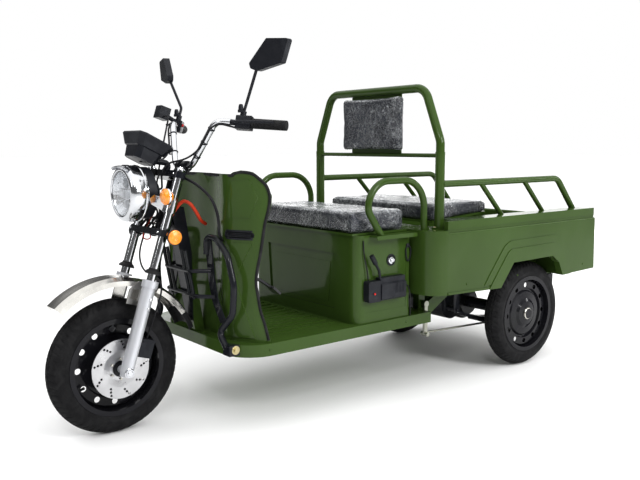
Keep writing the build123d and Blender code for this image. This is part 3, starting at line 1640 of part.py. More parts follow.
def cable(points, radius):
    """A cable through its corners, each bend as wide as its two runs allow."""
    corners = [Vector(*point) for point in points]
    runs = [b - a for a, b in zip(corners, corners[1:])]
    bends = []
    for before, after in zip(runs, runs[1:]):
        half_turn = radians(before.get_angle(after)) / 2
        room = 0.49 * min(before.length, after.length)
        bends.append(min(room / max(tan(half_turn), 0.01), 400.0))
    print("cable bends", [round(bend) for bend in bends])
    return tube([tuple(corner) for corner in corners], bends, radius)


def make_switch_cable():
    """Cable tied along the left handlebar, from its switch housing to the headlamp's bucket."""
    base, knee, end = (Vector(*point) for point in bar_points())
    along = grip_direction()
    rise = (knee - base).normalized()
    reach = bar_radius + cable_radius + cable_bar_gap
    outward = along.cross(rise).normalized() * reach
    under = (Vector(0, 0, -1) - along * along.dot(Vector(0, 0, -1))).normalized() * reach
    start = end - along * (grip_length + switch_length + 4 * seat_gap)
    clear = -stanchion_radius - clamp_margin - cable_radius
    bucket = fork_point(0, -headlamp_ahead, headlamp_up)
    bucket_back = bucket.Y + headlamp_rim_depth + headlamp_shell_depth + seat_gap
    run = [
        start + under,
        knee + outward,
        base + rise * 40 + outward,
        Vector(bar_centre_half - 12, clear - 20, upper_clamp_height + clamp_thickness + 12),
    ]
    points = [tuple((fork_frame * Pos(*point)).position) for point in run]
    points.append((24, bucket_back + 16, bucket.Z + 12))
    points.append((24, bucket_back, bucket.Z + 12))
    return cable(points, cable_radius)


def make_brake_hose():
    """Front brake hose: from the fluid box down behind the right leg and across to the caliper."""
    end = Vector(*bar_points()[2])
    foot = end - grip_direction() * (grip_length + seat_gap + switch_length - 14)
    tank = foot + Vector(-4, -fluid_box_width - 30, 24)
    leg = fork_half_spacing + 9
    behind = seal_radius + brake_hose_radius + 7
    over_fender = fender_radius + brake_hose_radius + 18
    down = [
        (-tank.X + fluid_box_width / 2 + seat_gap, tank.Y, tank.Z - 12),
        (-tank.X + fluid_box_width / 2 + 42, tank.Y - 2, tank.Z - 16),
        (-leg - 24, behind - 4, upper_clamp_height + 96),
        (-leg, behind, upper_clamp_height - 40),
        (-leg, behind, over_fender + 60),
        (-leg + 26, behind + 16, over_fender + 8),
        (0, behind + 34, over_fender - 4),
        (fender_half_width + 20, behind + 26, over_fender - 26),
        (brake_disc_offset + 22, behind + 22, over_fender - 110),
        (brake_disc_offset + 11, behind + 20, 112 + seat_gap),
    ]
    return cable([tuple((fork_frame * Pos(*point)).position) for point in down], brake_hose_radius)


def make_lever_cables():
    """The hand lever's two cables: up the seat box's side and down behind it to the floor."""
    face = box_half_width + seat_gap + lever_cable_radius
    gate_y = ahead(lever_front_ahead)
    gate_top = lever_box_bottom + lever_box_height + 12 + seat_gap
    rear_y = ahead(lever_rear_ahead) + seat_gap
    mid_z = lever_box_bottom + lever_box_height * 0.72
    front = cable([
        (face + 6, gate_y + 16, gate_top),
        (face + 6, gate_y + 10, gate_top + 44),
        (face + 4, gate_y - 4, gate_top + 96),
        (face, gate_y - 4, box_top - 18),
    ], lever_cable_radius)
    rear = cable([
        (face + 12, rear_y, mid_z),
        (face + 12, rear_y + 26, mid_z - 4),
        (face + 6, rear_y + 48, mid_z - 48),
        (face + 1, rear_y + 52, floor_top + seat_gap),
    ], lever_cable_radius)
    return Compound(children=[front, rear])


# The whole vehicle ------------------------------------------------------------------------------------------------


def build_nodes():
    """Every sub-part under its node name."""
    nodes = {}
    nodes.update(make_front_wheel())
    rear = make_rear_wheel()
    for side, turn in (("left", lambda shape: shape), ("right", mirrored)):
        nodes["tyre_rear_" + side] = turn(rear["tyre"])
        nodes["rim_rear_" + side] = turn(rear["rim"])
    nodes["fork_sliders"] = make_fork_sliders()
    nodes["fork_tubes"] = make_fork_tubes()
    nodes["fork_clamps"] = make_fork_clamps()
    nodes["handlebar"] = make_handlebar()
    nodes["grips"] = make_grips()
    nodes["hand_controls"] = make_hand_controls()
    left_mirror = make_mirror()
    nodes["mirrors"] = both_sides(left_mirror)
    nodes["headlamp_lens"], nodes["headlamp_shell"] = make_headlamp()
    nodes["lamp_brackets"] = make_lamp_brackets()
    nodes["amber_lamps"] = both_sides(Compound(children=[make_signals(), make_reflectors()]))
    nodes["instrument_pod"] = make_pod()
    stay = make_fender_stays()
    guard, flap = make_fender()
    nodes["front_fender"] = guard + stay + mirrored(stay)
    nodes["fender_flap"] = flap
    nodes["brake_caliper"] = make_caliper()
    nodes["chassis_frame"] = make_chassis()
    nodes["spring_hangers"] = both_sides(make_spring_hangers())
    nodes["leaf_springs"] = both_sides(make_leaf_spring())
    nodes["rear_axle"] = make_rear_axle()
    nodes["drive_motor"] = make_motor()
    nodes["brake_linkage"] = Compound(children=[make_brake_pedal(), *both_sides(make_brake_relay()).solids()])
    nodes["floor_pan"] = make_floor()
    nodes["leg_shield"] = make_leg_shield()
    nodes["front_guards"] = make_guards()
    nodes["seat_box"] = make_seat_box()
    nodes["armrests"] = both_sides(make_armrest())
    nodes["seat_lid"] = make_seat_lid()
    nodes["driver_cushion"] = make_driver_cushion()
    nodes["hand_lever"] = make_hand_lever()
    nodes["battery_pack"] = make_battery()
    nodes["roll_bar"] = make_roll_bar()
    nodes["back_cushion"] = make_back_cushion()
    nodes["bed_side_left"] = make_bed_side()
    nodes["bed_side_right"] = mirrored(make_bed_side())
    nodes["bed_front"] = make_bed_front()
    ears = make_gate_hinges()
    nodes["bed_floor"] = make_bed_floor() + ears[0] + ears[1]
    nodes["tailgate"] = make_tailgate()
    nodes["side_rails"] = both_sides(make_side_rail())
    nodes["bench_frame"], nodes["bench_cushion"] = make_bench()
    nodes["tail_lamps"] = make_tail_lamps()
    nodes["switch_cables"] = both_sides(make_switch_cable())
    nodes["front_brake_hose"] = make_brake_hose()
    nodes["lever_cables"] = make_lever_cables()
    return nodes


if __name__ == "__main__":
    os.makedirs("parts", exist_ok=True)
    for name, shape in build_nodes().items():
        export_step(shape, "parts/" + name + ".step")
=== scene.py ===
import math
import random

import bmesh
import bpy
from mathutils import Matrix, Vector, noise
from mathutils.bvhtree import BVHTree


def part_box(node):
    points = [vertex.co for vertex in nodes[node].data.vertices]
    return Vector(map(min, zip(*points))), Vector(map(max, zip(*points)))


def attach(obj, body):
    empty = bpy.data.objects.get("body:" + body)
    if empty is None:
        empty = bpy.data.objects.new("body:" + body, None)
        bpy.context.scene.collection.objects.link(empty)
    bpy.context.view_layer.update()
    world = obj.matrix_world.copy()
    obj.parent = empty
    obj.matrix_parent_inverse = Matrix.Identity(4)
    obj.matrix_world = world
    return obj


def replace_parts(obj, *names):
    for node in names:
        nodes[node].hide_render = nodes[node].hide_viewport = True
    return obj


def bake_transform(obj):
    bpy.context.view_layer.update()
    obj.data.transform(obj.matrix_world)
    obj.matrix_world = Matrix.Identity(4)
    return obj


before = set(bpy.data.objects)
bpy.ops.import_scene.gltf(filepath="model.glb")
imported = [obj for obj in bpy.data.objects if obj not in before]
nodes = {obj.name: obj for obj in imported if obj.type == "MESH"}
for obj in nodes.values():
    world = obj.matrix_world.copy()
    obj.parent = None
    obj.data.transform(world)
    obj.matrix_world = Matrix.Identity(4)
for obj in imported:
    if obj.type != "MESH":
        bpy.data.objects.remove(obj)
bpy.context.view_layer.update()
random.seed(7)
noise.seed_set(7)

# Places, all taken from the frame ---------------------------------------------------------------


def middle(node):
    low, high = (Vector(c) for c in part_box(node))
    return (low + high) / 2


FRONT = middle("tyre_front")
REAR_LEFT = middle("tyre_rear_left")
REAR_RIGHT = middle("tyre_rear_right")
TYRE_RADIUS = (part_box("tyre_front")[1][2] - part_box("tyre_front")[0][2]) / 2
TYRE_HALF = (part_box("tyre_front")[1][0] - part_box("tyre_front")[0][0]) / 2
RAKE = math.radians(18.2)
SIDE = Vector((1, 0, 0))
BEHIND = Vector((0, math.cos(RAKE), -math.sin(RAKE)))
UP = Vector((0, math.sin(RAKE), math.cos(RAKE)))


def fork(side, behind, up):
    """A point in the fork's own frame: sideways, behind the legs, and up along them."""
    return FRONT + SIDE * side + BEHIND * behind + UP * up


def axes(origin, z_axis, x_hint=(0, 0, 1)):
    """A matrix at origin whose local Z is z_axis."""
    z = Vector(z_axis).normalized()
    x = Vector(x_hint)
    if abs(x.normalized().dot(z)) > 0.95:
        x = Vector((1, 0, 0)) if abs(z.x) < 0.9 else Vector((0, 1, 0))
    y = z.cross(x).normalized()
    x = y.cross(z).normalized()
    m = Matrix((x, y, z)).transposed().to_4x4()
    m.translation = Vector(origin)
    return m


# Materials ----------------------------------------------------------------------------------------


class Shader:
    """A procedural material on the Principled shader, in the object's own coordinates."""

    def __init__(self, name, **sockets):
        self.material = bpy.data.materials.new(name)
        self.material.use_nodes = True
        self.tree = self.material.node_tree
        self.main = self.tree.nodes["Principled BSDF"]
        for socket, value in sockets.items():
            self.main.inputs[socket.replace("_", " ")].default_value = value
        self.place = self.add("ShaderNodeTexCoord").outputs["Object"]
        self.height = None

    def add(self, kind, **settings):
        node = self.tree.nodes.new(kind)
        for key, value in settings.items():
            setattr(node, key, value)
        return node

    def link(self, source, target):
        self.tree.links.new(source, target)

    def scaled(self, size):
        """Coordinates stretched by (x, y, z)."""
        node = self.add("ShaderNodeMapping")
        node.inputs["Scale"].default_value = size
        self.link(self.place, node.inputs["Vector"])
        return node.outputs["Vector"]

    def noise(self, scale, detail=4.0, rough=0.55, stretch=None, twist=0.0):
        node = self.add("ShaderNodeTexNoise")
        node.inputs["Scale"].default_value = scale
        node.inputs["Detail"].default_value = detail
        node.inputs["Roughness"].default_value = rough
        node.inputs["Distortion"].default_value = twist
        self.link(self.scaled(stretch) if stretch else self.place, node.inputs["Vector"])
        return node.outputs["Fac"]

    def voronoi(self, scale, feature="F1", stretch=None):
        node = self.add("ShaderNodeTexVoronoi", feature=feature)
        node.inputs["Scale"].default_value = scale
        self.link(self.scaled(stretch) if stretch else self.place, node.inputs["Vector"])
        return node.outputs["Distance"]

    def wave(self, scale, direction="X", twist=0.0, stretch=None, bands="BANDS"):
        node = self.add("ShaderNodeTexWave", wave_type=bands)
        if bands == "BANDS":
            node.bands_direction = direction
        else:
            node.rings_direction = direction
        node.inputs["Scale"].default_value = scale
        node.inputs["Distortion"].default_value = twist
        self.link(self.scaled(stretch) if stretch else self.place, node.inputs["Vector"])
        return node.outputs["Fac"]

    def axis(self, letter):
        node = self.add("ShaderNodeSeparateXYZ")
        self.link(self.place, node.inputs["Vector"])
        return node.outputs[letter]

    def ranged(self, source, low, high, out_low=0.0, out_high=1.0):
        node = self.add("ShaderNodeMapRange")
        for key, value in (("From Min", low), ("From Max", high), ("To Min", out_low), ("To Max", out_high)):
            node.inputs[key].default_value = value
        self.link(source, node.inputs["Value"])
        return node.outputs["Result"]

    def ramp(self, source, *stops):
        node = self.add("ShaderNodeValToRGB")
        elements = node.color_ramp.elements
        while len(elements) < len(stops):
            elements.new(0.5)
        for element, (place, colour) in zip(elements, stops):
            element.position = place
            element.color = (*colour, 1)
        self.link(source, node.inputs["Fac"])
        return node.outputs["Color"]

    def mix(self, factor, a, b, blend="MIX"):
        node = self.add("ShaderNodeMix", data_type="RGBA", blend_type=blend)
        for source, index in ((factor, 0), (a, 6), (b, 7)):
            if hasattr(source, "is_linked"):
                self.link(source, node.inputs[index])
            elif index == 0:
                node.inputs[0].default_value = source
            else:
                node.inputs[index].default_value = (*source, 1)
        return node.outputs[2]

    def math(self, operation, a, b=0.0):
        node = self.add("ShaderNodeMath", operation=operation)
        for index, source in enumerate((a, b)):
            if hasattr(source, "is_linked"):
                self.link(source, node.inputs[index])
            else:
                node.inputs[index].default_value = source
        return node.outputs[0]

    def colour(self, source):
        self.link(source, self.main.inputs["Base Color"])

    def rough(self, source, low, high):
        self.link(self.ranged(source, 0.3, 0.7, low, high), self.main.inputs["Roughness"])

    def bump(self, source, distance, strength=1.0):
        """Adds a layer of relief, of a real depth in metres."""
        node = self.add("ShaderNodeBump")
        node.inputs["Distance"].default_value = distance
        node.inputs["Strength"].default_value = strength
        self.link(source, node.inputs["Height"])
        if self.height is not None:
            self.link(self.height, node.inputs["Normal"])
        self.height = node.outputs["Normal"]
        self.link(self.height, self.main.inputs["Normal"])


def paint(name, shade, light, rough=(0.16, 0.24), coat=0.3, peel=0.00006, dust=(0.20, 0.22, 0.16),
        dusty=0.03):
    """Sprayed gloss paint: orange peel, a faint drift of colour, and a thin dusting in random patches."""
    s = Shader(name, Coat_Weight=coat, Coat_Roughness=0.05, Specular_IOR_Level=0.07)
    body = s.ramp(s.noise(2.2, 2), (0.3, shade), (0.7, light))
    film = s.math("MULTIPLY", s.ranged(s.noise(5, 4, twist=0.6), 0.5, 0.8), dusty)
    s.colour(s.mix(film, body, dust))
    s.rough(s.noise(9, 3), *rough)
    s.bump(s.noise(240, 2), peel, 0.6)
    s.bump(s.noise(20, 1), 0.0009, 0.35)
    s.bump(s.noise(4, 2, twist=0.5), 0.007, 0.8)
    return s


def bare(name, shade, light, rough=(0.12, 0.26), grain=None, scratch=0.00004):
    """Bare or plated metal: smudges, fine scratches and the grain it was finished with."""
    s = Shader(name, Metallic=1.0)
    body = s.ramp(s.noise(8, 4), (0.3, shade), (0.7, light))
    s.colour(body)
    s.rough(s.noise(22, 6, stretch=grain), *rough)
    s.bump(s.noise(420, 3, stretch=grain), scratch)
    return s


def moulded(name, shade, light, rough=(0.35, 0.5), grain=0.00012, scale=900):
    """Moulded plastic or rubber with a fine spark texture and paler rubbed places."""
    s = Shader(name, Specular_IOR_Level=0.2)
    rub = s.ranged(s.noise(16, 5, twist=0.4), 0.5, 0.72)
    s.colour(s.mix(rub, shade, light))
    s.rough(s.noise(30, 4), *rough)
    s.bump(s.noise(scale, 2), grain)
    s.bump(s.noise(60, 2), 0.0003, 0.4)
    return s


green = paint("green_paint", (0.033, 0.063, 0.011), (0.042, 0.080, 0.015))
black_gloss = paint("black_gloss_paint", (0.008, 0.009, 0.012), (0.014, 0.015, 0.019), rough=(0.16, 0.3),
    dusty=0.06)
rim_black = paint("rim_black_paint", (0.007, 0.007, 0.009), (0.012, 0.012, 0.015), rough=(0.14, 0.28),
    dusty=0.05)
silver = paint(
    "silver_fork_paint", (0.52, 0.53, 0.56), (0.63, 0.64, 0.67), rough=(0.3, 0.42), coat=0.3, dusty=0.04,
    dust=(0.4, 0.4, 0.4)
)
silver.main.inputs["Metallic"].default_value = 0.55
chrome = bare("chrome_plate", (0.52, 0.53, 0.55), (0.68, 0.69, 0.71), rough=(0.09, 0.18))
brushed = bare("brushed_disc_steel", (0.48, 0.48, 0.49), (0.64, 0.64, 0.65), rough=(0.24, 0.4),
    scratch=0.0001)
zinc = bare("zinc_plate", (0.50, 0.49, 0.45), (0.68, 0.66, 0.60), rough=(0.25, 0.42))
yellow_zinc = bare("yellow_zinc_plate", (0.46, 0.40, 0.22), (0.62, 0.56, 0.36), rough=(0.28, 0.42))
fender_steel = bare("polished_fender_steel", (0.42, 0.41, 0.39), (0.62, 0.61, 0.58), rough=(0.12, 0.3),
    grain=(1, 0.2, 0.2))
plastic = moulded("black_moulded_plastic", (0.012, 0.013, 0.017), (0.024, 0.026, 0.031), rough=(0.3, 0.46))
rubber = moulded("black_rubber", (0.012, 0.012, 0.013), (0.03, 0.03, 0.031), rough=(0.5, 0.68), grain=0.0002)
cable_skin = moulded("cable_sheath", (0.010, 0.010, 0.012), (0.022, 0.022, 0.024), rough=(0.35, 0.5),
    grain=0.00005)
red_skin = moulded("red_cable_sheath", (0.42, 0.035, 0.012), (0.60, 0.075, 0.03), rough=(0.35, 0.5),
    grain=0.0001)
red_plastic = moulded("red_switch_plastic", (0.45, 0.01, 0.01), (0.58, 0.03, 0.02), rough=(0.25, 0.4))


def tyre_material():
    """Tyre rubber: greyer scuffed patches and a fine speckle of road dust."""
    s = Shader("tyre_rubber", Specular_IOR_Level=0.12)
    scuff = s.ranged(s.noise(28, 6, twist=0.8), 0.42, 0.72)
    grain = s.ranged(s.noise(420, 2), 0.35, 0.8)
    base = s.mix(scuff, (0.006, 0.006, 0.007), (0.017, 0.017, 0.018))
    s.colour(s.mix(s.math("MULTIPLY", grain, 0.14), base, (0.06, 0.058, 0.054)))
    s.rough(s.noise(18, 5), 0.52, 0.72)
    s.bump(s.noise(700, 3), 0.00025)
    s.bump(s.noise(55, 3), 0.0006, 0.5)
    return s


def glass_material():
    """Clear lens glass with faint moulding waves."""
    s = Shader("lamp_glass", Transmission_Weight=0.96, IOR=1.46)
    s.colour(s.ramp(s.noise(20, 2), (0.3, (0.93, 0.95, 0.97)), (0.7, (0.98, 0.99, 1.0))))
    s.rough(s.noise(40, 3), 0.01, 0.05)
    s.bump(s.noise(120, 2), 0.0002)
    return s


def lens_material(name, deep, bright):
    """Coloured lens: a drift between a deeper and a brighter tone, with fine prisms moulded in."""
    s = Shader(name, Coat_Weight=0.8, Coat_Roughness=0.04, Subsurface_Weight=0.15, Subsurface_Scale=0.006)
    s.colour(s.ramp(s.noise(60, 3), (0.3, deep), (0.7, bright)))
    s.rough(s.noise(80, 3), 0.08, 0.2)
    s.bump(s.voronoi(420), 0.0004)
    s.bump(s.noise(60, 2), 0.0003, 0.5)
    return s


def vinyl_material():
    """Dark seat vinyl with a leather grain, drawn into shallow shiny folds by the film over it."""
    s = Shader("seat_vinyl", Specular_IOR_Level=0.5)
    s.colour(s.ramp(s.noise(12, 5), (0.3, (0.010, 0.011, 0.017)), (0.7, (0.020, 0.022, 0.031))))
    s.rough(s.noise(26, 4), 0.14, 0.30)
    s.bump(s.noise(14, 2, 0.5, stretch=(1.0, 1.0, 0.35), twist=1.0), 0.004, 0.6)
    s.bump(s.voronoi(620, "DISTANCE_TO_EDGE"), 0.0003)
    s.bump(s.noise(900, 2), 0.0001)
    return s


def film_material():
    """Thin clear wrapping film, whitish along its creases, with a painted sky reflection that makes its upward
    faces paler.
    """
    s = Shader("clear_wrap_film", Specular_IOR_Level=0.5, Coat_Weight=0.5, Coat_Roughness=0.06)

    def folds(scale, width, twist):
        field = s.noise(scale, 5, 0.6, stretch=(1.0, 1.0, 0.5), twist=twist)
        band = s.ranged(field, 0.5 - width, 0.5 + width)
        return s.math("SUBTRACT", 1.0,
            s.math("ABSOLUTE", s.math("SUBTRACT", s.math("MULTIPLY", band, 2.0), 1.0)))

    broad = s.math("POWER", folds(26, 0.020, 1.6), 2.0)
    fine = s.math("MULTIPLY", s.math("POWER", folds(60, 0.028, 1.0), 2.0), 0.7)
    patchy = s.ranged(s.noise(7, 4, twist=0.8), 0.40, 0.66)
    s.colour(s.mix(patchy, (0.62, 0.66, 0.68), (0.86, 0.88, 0.90)))
    crease = s.math("MULTIPLY", s.math("MAXIMUM", broad, fine),
        s.math("ADD", s.math("MULTIPLY", patchy, 0.45), 0.18))
    # Painted reflection: faces that point up get more of the pale film colour, standing in for the bright sky
    # mirrored on the cushion tops.
    split = s.add("ShaderNodeSeparateXYZ")
    s.link(s.add("ShaderNodeTexCoord").outputs["Normal"], split.inputs["Vector"])
    painted_sky_sheen = s.math("MULTIPLY", s.ranged(split.outputs["Z"], 0.45, 0.95),
        s.math("ADD", s.math("MULTIPLY", patchy, 0.30), 0.08))
    plain = s.math("ADD", s.math("MULTIPLY", patchy, 0.05), 0.02)
    s.link(s.math("ADD", crease, s.math("ADD", plain, painted_sky_sheen)), s.main.inputs["Alpha"])
    s.rough(s.noise(40, 4), 0.05, 0.16)
    s.bump(s.noise(70, 5, 0.6, twist=1.0), 0.0016)
    s.bump(s.noise(24, 4, 0.6, twist=1.4), 0.004, 0.7)
    return s


tyre_skin = tyre_material()
glass = glass_material()
amber = lens_material("amber_lens", (0.72, 0.20, 0.008), (0.92, 0.36, 0.02))
red_lens = lens_material("red_lens", (0.34, 0.006, 0.006), (0.55, 0.02, 0.015))
vinyl = vinyl_material()
film = film_material()


def frame_material():
    """The frame's green paint, black ahead of the footboard, where the down tube and head are."""
    s = paint("frame_paint", (0.033, 0.063, 0.011), (0.042, 0.080, 0.015))
    ahead = s.ranged(s.axis("Y"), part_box("floor_pan")[0][1] - 0.002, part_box("floor_pan")[0][1] + 0.002)
    green_body = s.main.inputs["Base Color"].links[0].from_socket
    dark = s.ramp(s.noise(5, 3), (0.3, (0.008, 0.009, 0.012)), (0.7, (0.015, 0.016, 0.02)))
    s.colour(s.mix(ahead, dark, green_body))
    return s


frame_paint = frame_material()


def linkage_material():
    """The brake linkage: zinc plated rods behind, a black painted pedal ahead of the seat box."""
    s = bare("brake_linkage_metal", (0.26, 0.27, 0.23), (0.40, 0.40, 0.35), rough=(0.25, 0.42))
    behind = s.ranged(s.axis("Y"), PEDAL_END - 0.002, PEDAL_END + 0.002)
    zinc_body = s.main.inputs["Base Color"].links[0].from_socket
    black = s.ramp(s.noise(24, 4), (0.3, (0.010, 0.010, 0.012)), (0.7, (0.020, 0.020, 0.023)))
    s.colour(s.mix(behind, black, zinc_body))
    s.link(behind, s.main.inputs["Metallic"])
    return s


PEDAL_END = -0.16
linkage_metal = linkage_material()

finishes = {
    "chassis_frame": frame_paint,
    "floor_pan": green,
    "leg_shield": green,
    "front_guards": black_gloss,
    "seat_box": green,
    "seat_lid": green,
    "bed_floor": green,
    "bed_front": green,
    "bed_side_left": green,
    "bed_side_right": green,
    "tailgate": green,
    "side_rails": green,
    "armrests": green,
    "roll_bar": green,
    "bench_frame": green,
    "battery_pack": plastic,
    "hand_lever": plastic,
    "brake_linkage": linkage_metal,
    "switch_cables": cable_skin,
    "front_brake_hose": cable_skin,
    "lever_cables": cable_skin,
    "spring_hangers": black_gloss,
    "leaf_springs": black_gloss,
    "rear_axle": black_gloss,
    "drive_motor": black_gloss,
    "tail_lamps": red_lens,
    "rim_front": rim_black,
    "rim_rear_left": rim_black,
    "rim_rear_right": rim_black,
    "brake_disc_front": brushed,
    "brake_caliper": plastic,
    "fork_sliders": silver,
    "fork_tubes": chrome,
    "fork_clamps": black_gloss,
    "handlebar": chrome,
    "grips": rubber,
    "hand_controls": plastic,
    "mirrors": plastic,
    "headlamp_shell": plastic,
    "headlamp_lens": chrome,
    "lamp_brackets": chrome,
    "amber_lamps": amber,
    "instrument_pod": plastic,
    "front_fender": fender_steel,
    "fender_flap": rubber,
    "driver_cushion": vinyl,
    "bench_cushion": vinyl,
    "back_cushion": vinyl,
    "tyre_front": tyre_skin,
    "tyre_rear_left": tyre_skin,
    "tyre_rear_right": tyre_skin,
}
for node, ob in nodes.items():
    ob.data.materials.clear()
    ob.data.materials.append(finishes[node].material)


# Making pieces ------------------------------------------------------------------------------------


def put(name, bm, shader, body, sharp=0.7):
    """Turns a bmesh into a piece that rides on a body, smooth except at its real edges."""
    bmesh.ops.recalc_face_normals(bm, faces=bm.faces)
    for face in bm.faces:
        face.smooth = True
    for edge in bm.edges:
        if len(edge.link_faces) == 2:
            edge.smooth = edge.calc_face_angle(0) < sharp
    mesh = bpy.data.meshes.new(name)
    bm.to_mesh(mesh)
    bm.free()
    ob = bpy.data.objects.new(name, mesh)
    bpy.context.scene.collection.objects.link(ob)
    mesh.materials.append(shader.material)
    if body:
        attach(ob, body)
    return ob


def skin(bm, rings):
    """Joins each closed ring of points to the next one with four-sided faces."""
    for a, b in zip(rings, rings[1:]):
        for k in range(len(a)):
            j = (k + 1) % len(a)
            bm.faces.new((a[k], a[j], b[j], b[k]))


def lathe(bm, at, profile, steps=48, closed=False):
    """Turns (along, radius) points about the local Z of a matrix."""
    rings = []
    for along, radius in profile:
        if radius < 1e-6:
            rings.append([bm.verts.new(at @ Vector((0, 0, along)))])
            continue
        ring = []
        for i in range(steps):
            a = 2 * math.pi * i / steps
            ring.append(bm.verts.new(at @ Vector((radius * math.cos(a), radius * math.sin(a), along))))
        rings.append(ring)
    pairs = list(zip(rings, rings[1:]))
    if closed:
        pairs.append((rings[-1], rings[0]))
    for a, b in pairs:
        for i in range(steps):
            j = (i + 1) % steps
            quad = [a[i % len(a)], a[j % len(a)], b[j % len(b)], b[i % len(b)]]
            unique = list(dict.fromkeys(quad))
            if len(unique) > 2:
                bm.faces.new(unique)


def hex_bolt(bm, at, outward, size=0.006, washer=True):
    """A hexagon head with a chamfered top on a round washer."""
    m = axes(at, outward)
    low = 0.0
    if washer:
        lathe(bm, m, [(-0.001, 0), (-0.001, size * 1.55), (0.0008, size * 1.6), (0.0016, size * 1.5),
            (0.0016, 0)], 20)
        low = 0.0014
    lathe(bm, m, [(low - 0.001, 0), (low - 0.001, size), (low + size * 0.62, size),
        (low + size * 0.78, size * 0.8),
                  (low + size * 0.78, 0)], 6)


def round_bolt(bm, at, outward, size=0.005):
    m = axes(at, outward)
    lathe(bm, m, [(-0.001, 0), (-0.001, size), (size * 0.35, size * 0.92), (size * 0.6, size * 0.5),
        (size * 0.66, 0)], 20)


def smooth_line(points, steps=8):
    """Points of a smooth line through the given ones."""
    line = []
    count = len(points)
    for i in range(count - 1):
        p0 = points[max(i - 1, 0)]
        p1 = points[i]
        p2 = points[i + 1]
        p3 = points[min(i + 2, count - 1)]
        for k in range(steps):
            t = k / steps
            line.append(0.5 * (2 * p1 + (p2 - p0) * t + (2 * p0 - 5 * p1 + 4 * p2 - p3) * t * t
                               + (3 * p1 - p0 - 3 * p2 + p3) * t ** 3))
    line.append(points[-1])
    return line


def tube(bm, line, radius, sides=12, flat=1.0):
    """A round or flattened tube along a line, its section carried along without twist."""
    side = Vector((1, 0, 0))
    rings = []
    for i, p in enumerate(line):
        along = (line[min(i + 1, len(line) - 1)] - line[max(i - 1, 0)]).normalized()
        side = side - along * side.dot(along)
        if side.length < 1e-4:
            side = along.orthogonal()
        side.normalize()
        other = along.cross(side)
        ring = []
        for k in range(sides):
            a = 2 * math.pi * k / sides
            ring.append(bm.verts.new(p + side * (radius * math.cos(a)) + other * (radius * flat * math.sin(a))))
        rings.append(ring)
    skin(bm, rings)
    bm.faces.new(rings[0])
    bm.faces.new(rings[-1])


def cord_line(name, points, radius, shader, body=None, blend=None):
    """A sheathed cable or hose on one smooth line; both its ends go into the object."""
    bm = bmesh.new()
    tube(bm, smooth_line([Vector(p) for p in points], 10), radius)
    ob = put(name, bm, shader, body)
    if blend:
        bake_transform(ob)
    return ob


# Tyres --------------------------------------------------------------------------------------------


def make_tyre(name, centre, body, node):
    """A 3.00 section road tyre: zigzag grooves and shoulder sipes cut into the crown, ringed walls."""
    bm = bmesh.new()
    columns = 720
    top = TYRE_RADIUS - 0.0002
    half = TYRE_HALF - 0.0004
    bead = 0.1555
    outline = []
    crown = 26
    for i in range(crown + 1):
        x = -1 + 2 * i / crown
        outline.append((x * half * 0.80, top - 0.0165 * abs(x) ** 2.3, 1.0))
    wall = [
        (0.86, 0.0195, 0), (0.93, 0.026, 0), (0.975, 0.034, 0), (1.0, 0.043, 0), (0.995, 0.048, 0),
        (0.975, 0.049, 0),
        (0.965, 0.0535, 0), (0.93, 0.058, 0), (0.93, 0.0605, 0), (0.90, 0.063, 0), (0.88, 0.0645, 0),
        (0.86, 0.068, 0),
    ]
    right = [(x * half, top - drop, 0) for x, drop, _ in wall] + [(half * 0.80, bead, 0),
        (half * 0.6, bead - 0.0012, 0)]
    left = [(-x, r, flag) for x, r, flag in reversed(right)]
    outline = left + outline + right
    rings = []
    for x, radius, cut in outline:
        ring = []
        for k in range(columns):
            r = radius
            if cut:
                u = x / (half * 0.80)
                step = k % 12
                zig = (step if step < 6 else 12 - step) / 6 - 0.5
                for lane in (-0.42, 0.0, 0.42):
                    if abs(u - lane - 0.05 * zig) < 0.055:
                        r -= 0.0035
                slant = (k + int(abs(u) * 9)) % 12
                if abs(u) > 0.50 and slant in (0, 1, 2):
                    r -= 0.0032 * min(1.0, (abs(u) - 0.45) * 4)
                elif 0.1 < abs(u) < 0.34 and (k + int(abs(u) * 12)) % 12 in (5, 6):
                    r -= 0.0026
            a = 2 * math.pi * k / columns
            ring.append(bm.verts.new(centre + Vector((x, r * math.sin(a), r * math.cos(a)))))
        rings.append(ring)
    skin(bm, rings)
    ob = put(name, bm, tyre_skin, body, 0.9)
    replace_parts(ob, node)
    return ob


make_tyre("detailed_tyre_front", FRONT, "front_wheel", "tyre_front")
make_tyre("detailed_tyre_rear_left", REAR_LEFT, "rear_left_wheel", "tyre_rear_left")
make_tyre("detailed_tyre_rear_right", REAR_RIGHT, "rear_right_wheel", "tyre_rear_right")


# Cushions -----------------------------------------------------------------------------------------


def soft_block(name, node, shrink, voxel):
    """A closed block with rounded corners in the space of a cushion's solid, ready to be inflated."""
    source = nodes[node]
    mesh = source.data.copy()
    ob = bpy.data.objects.new(name, mesh)
    bpy.context.scene.collection.objects.link(ob)
    centre = middle(node)
    low, high = (Vector(c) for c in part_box(node))
    size = high - low
    for vertex in mesh.vertices:
        offset = vertex.co - centre
        for i in range(3):
            offset[i] *= 1 - 2 * shrink / max(size[i], 0.03)
        vertex.co = centre + offset
    modifier = ob.modifiers.new("remesh", "REMESH")
    modifier.mode = "VOXEL"
    modifier.voxel_size = voxel
    modifier.use_smooth_shade = True
    bake(ob)
    return ob


def bake(ob):
    """Applies everything on the object to its mesh."""
    depsgraph = bpy.context.evaluated_depsgraph_get()
    mesh = bpy.data.meshes.new_from_object(ob.evaluated_get(depsgraph), depsgraph=depsgraph)
    ob.modifiers.clear()
    old = ob.data
    ob.data = mesh
    if old.users == 0:
        bpy.data.meshes.remove(old)


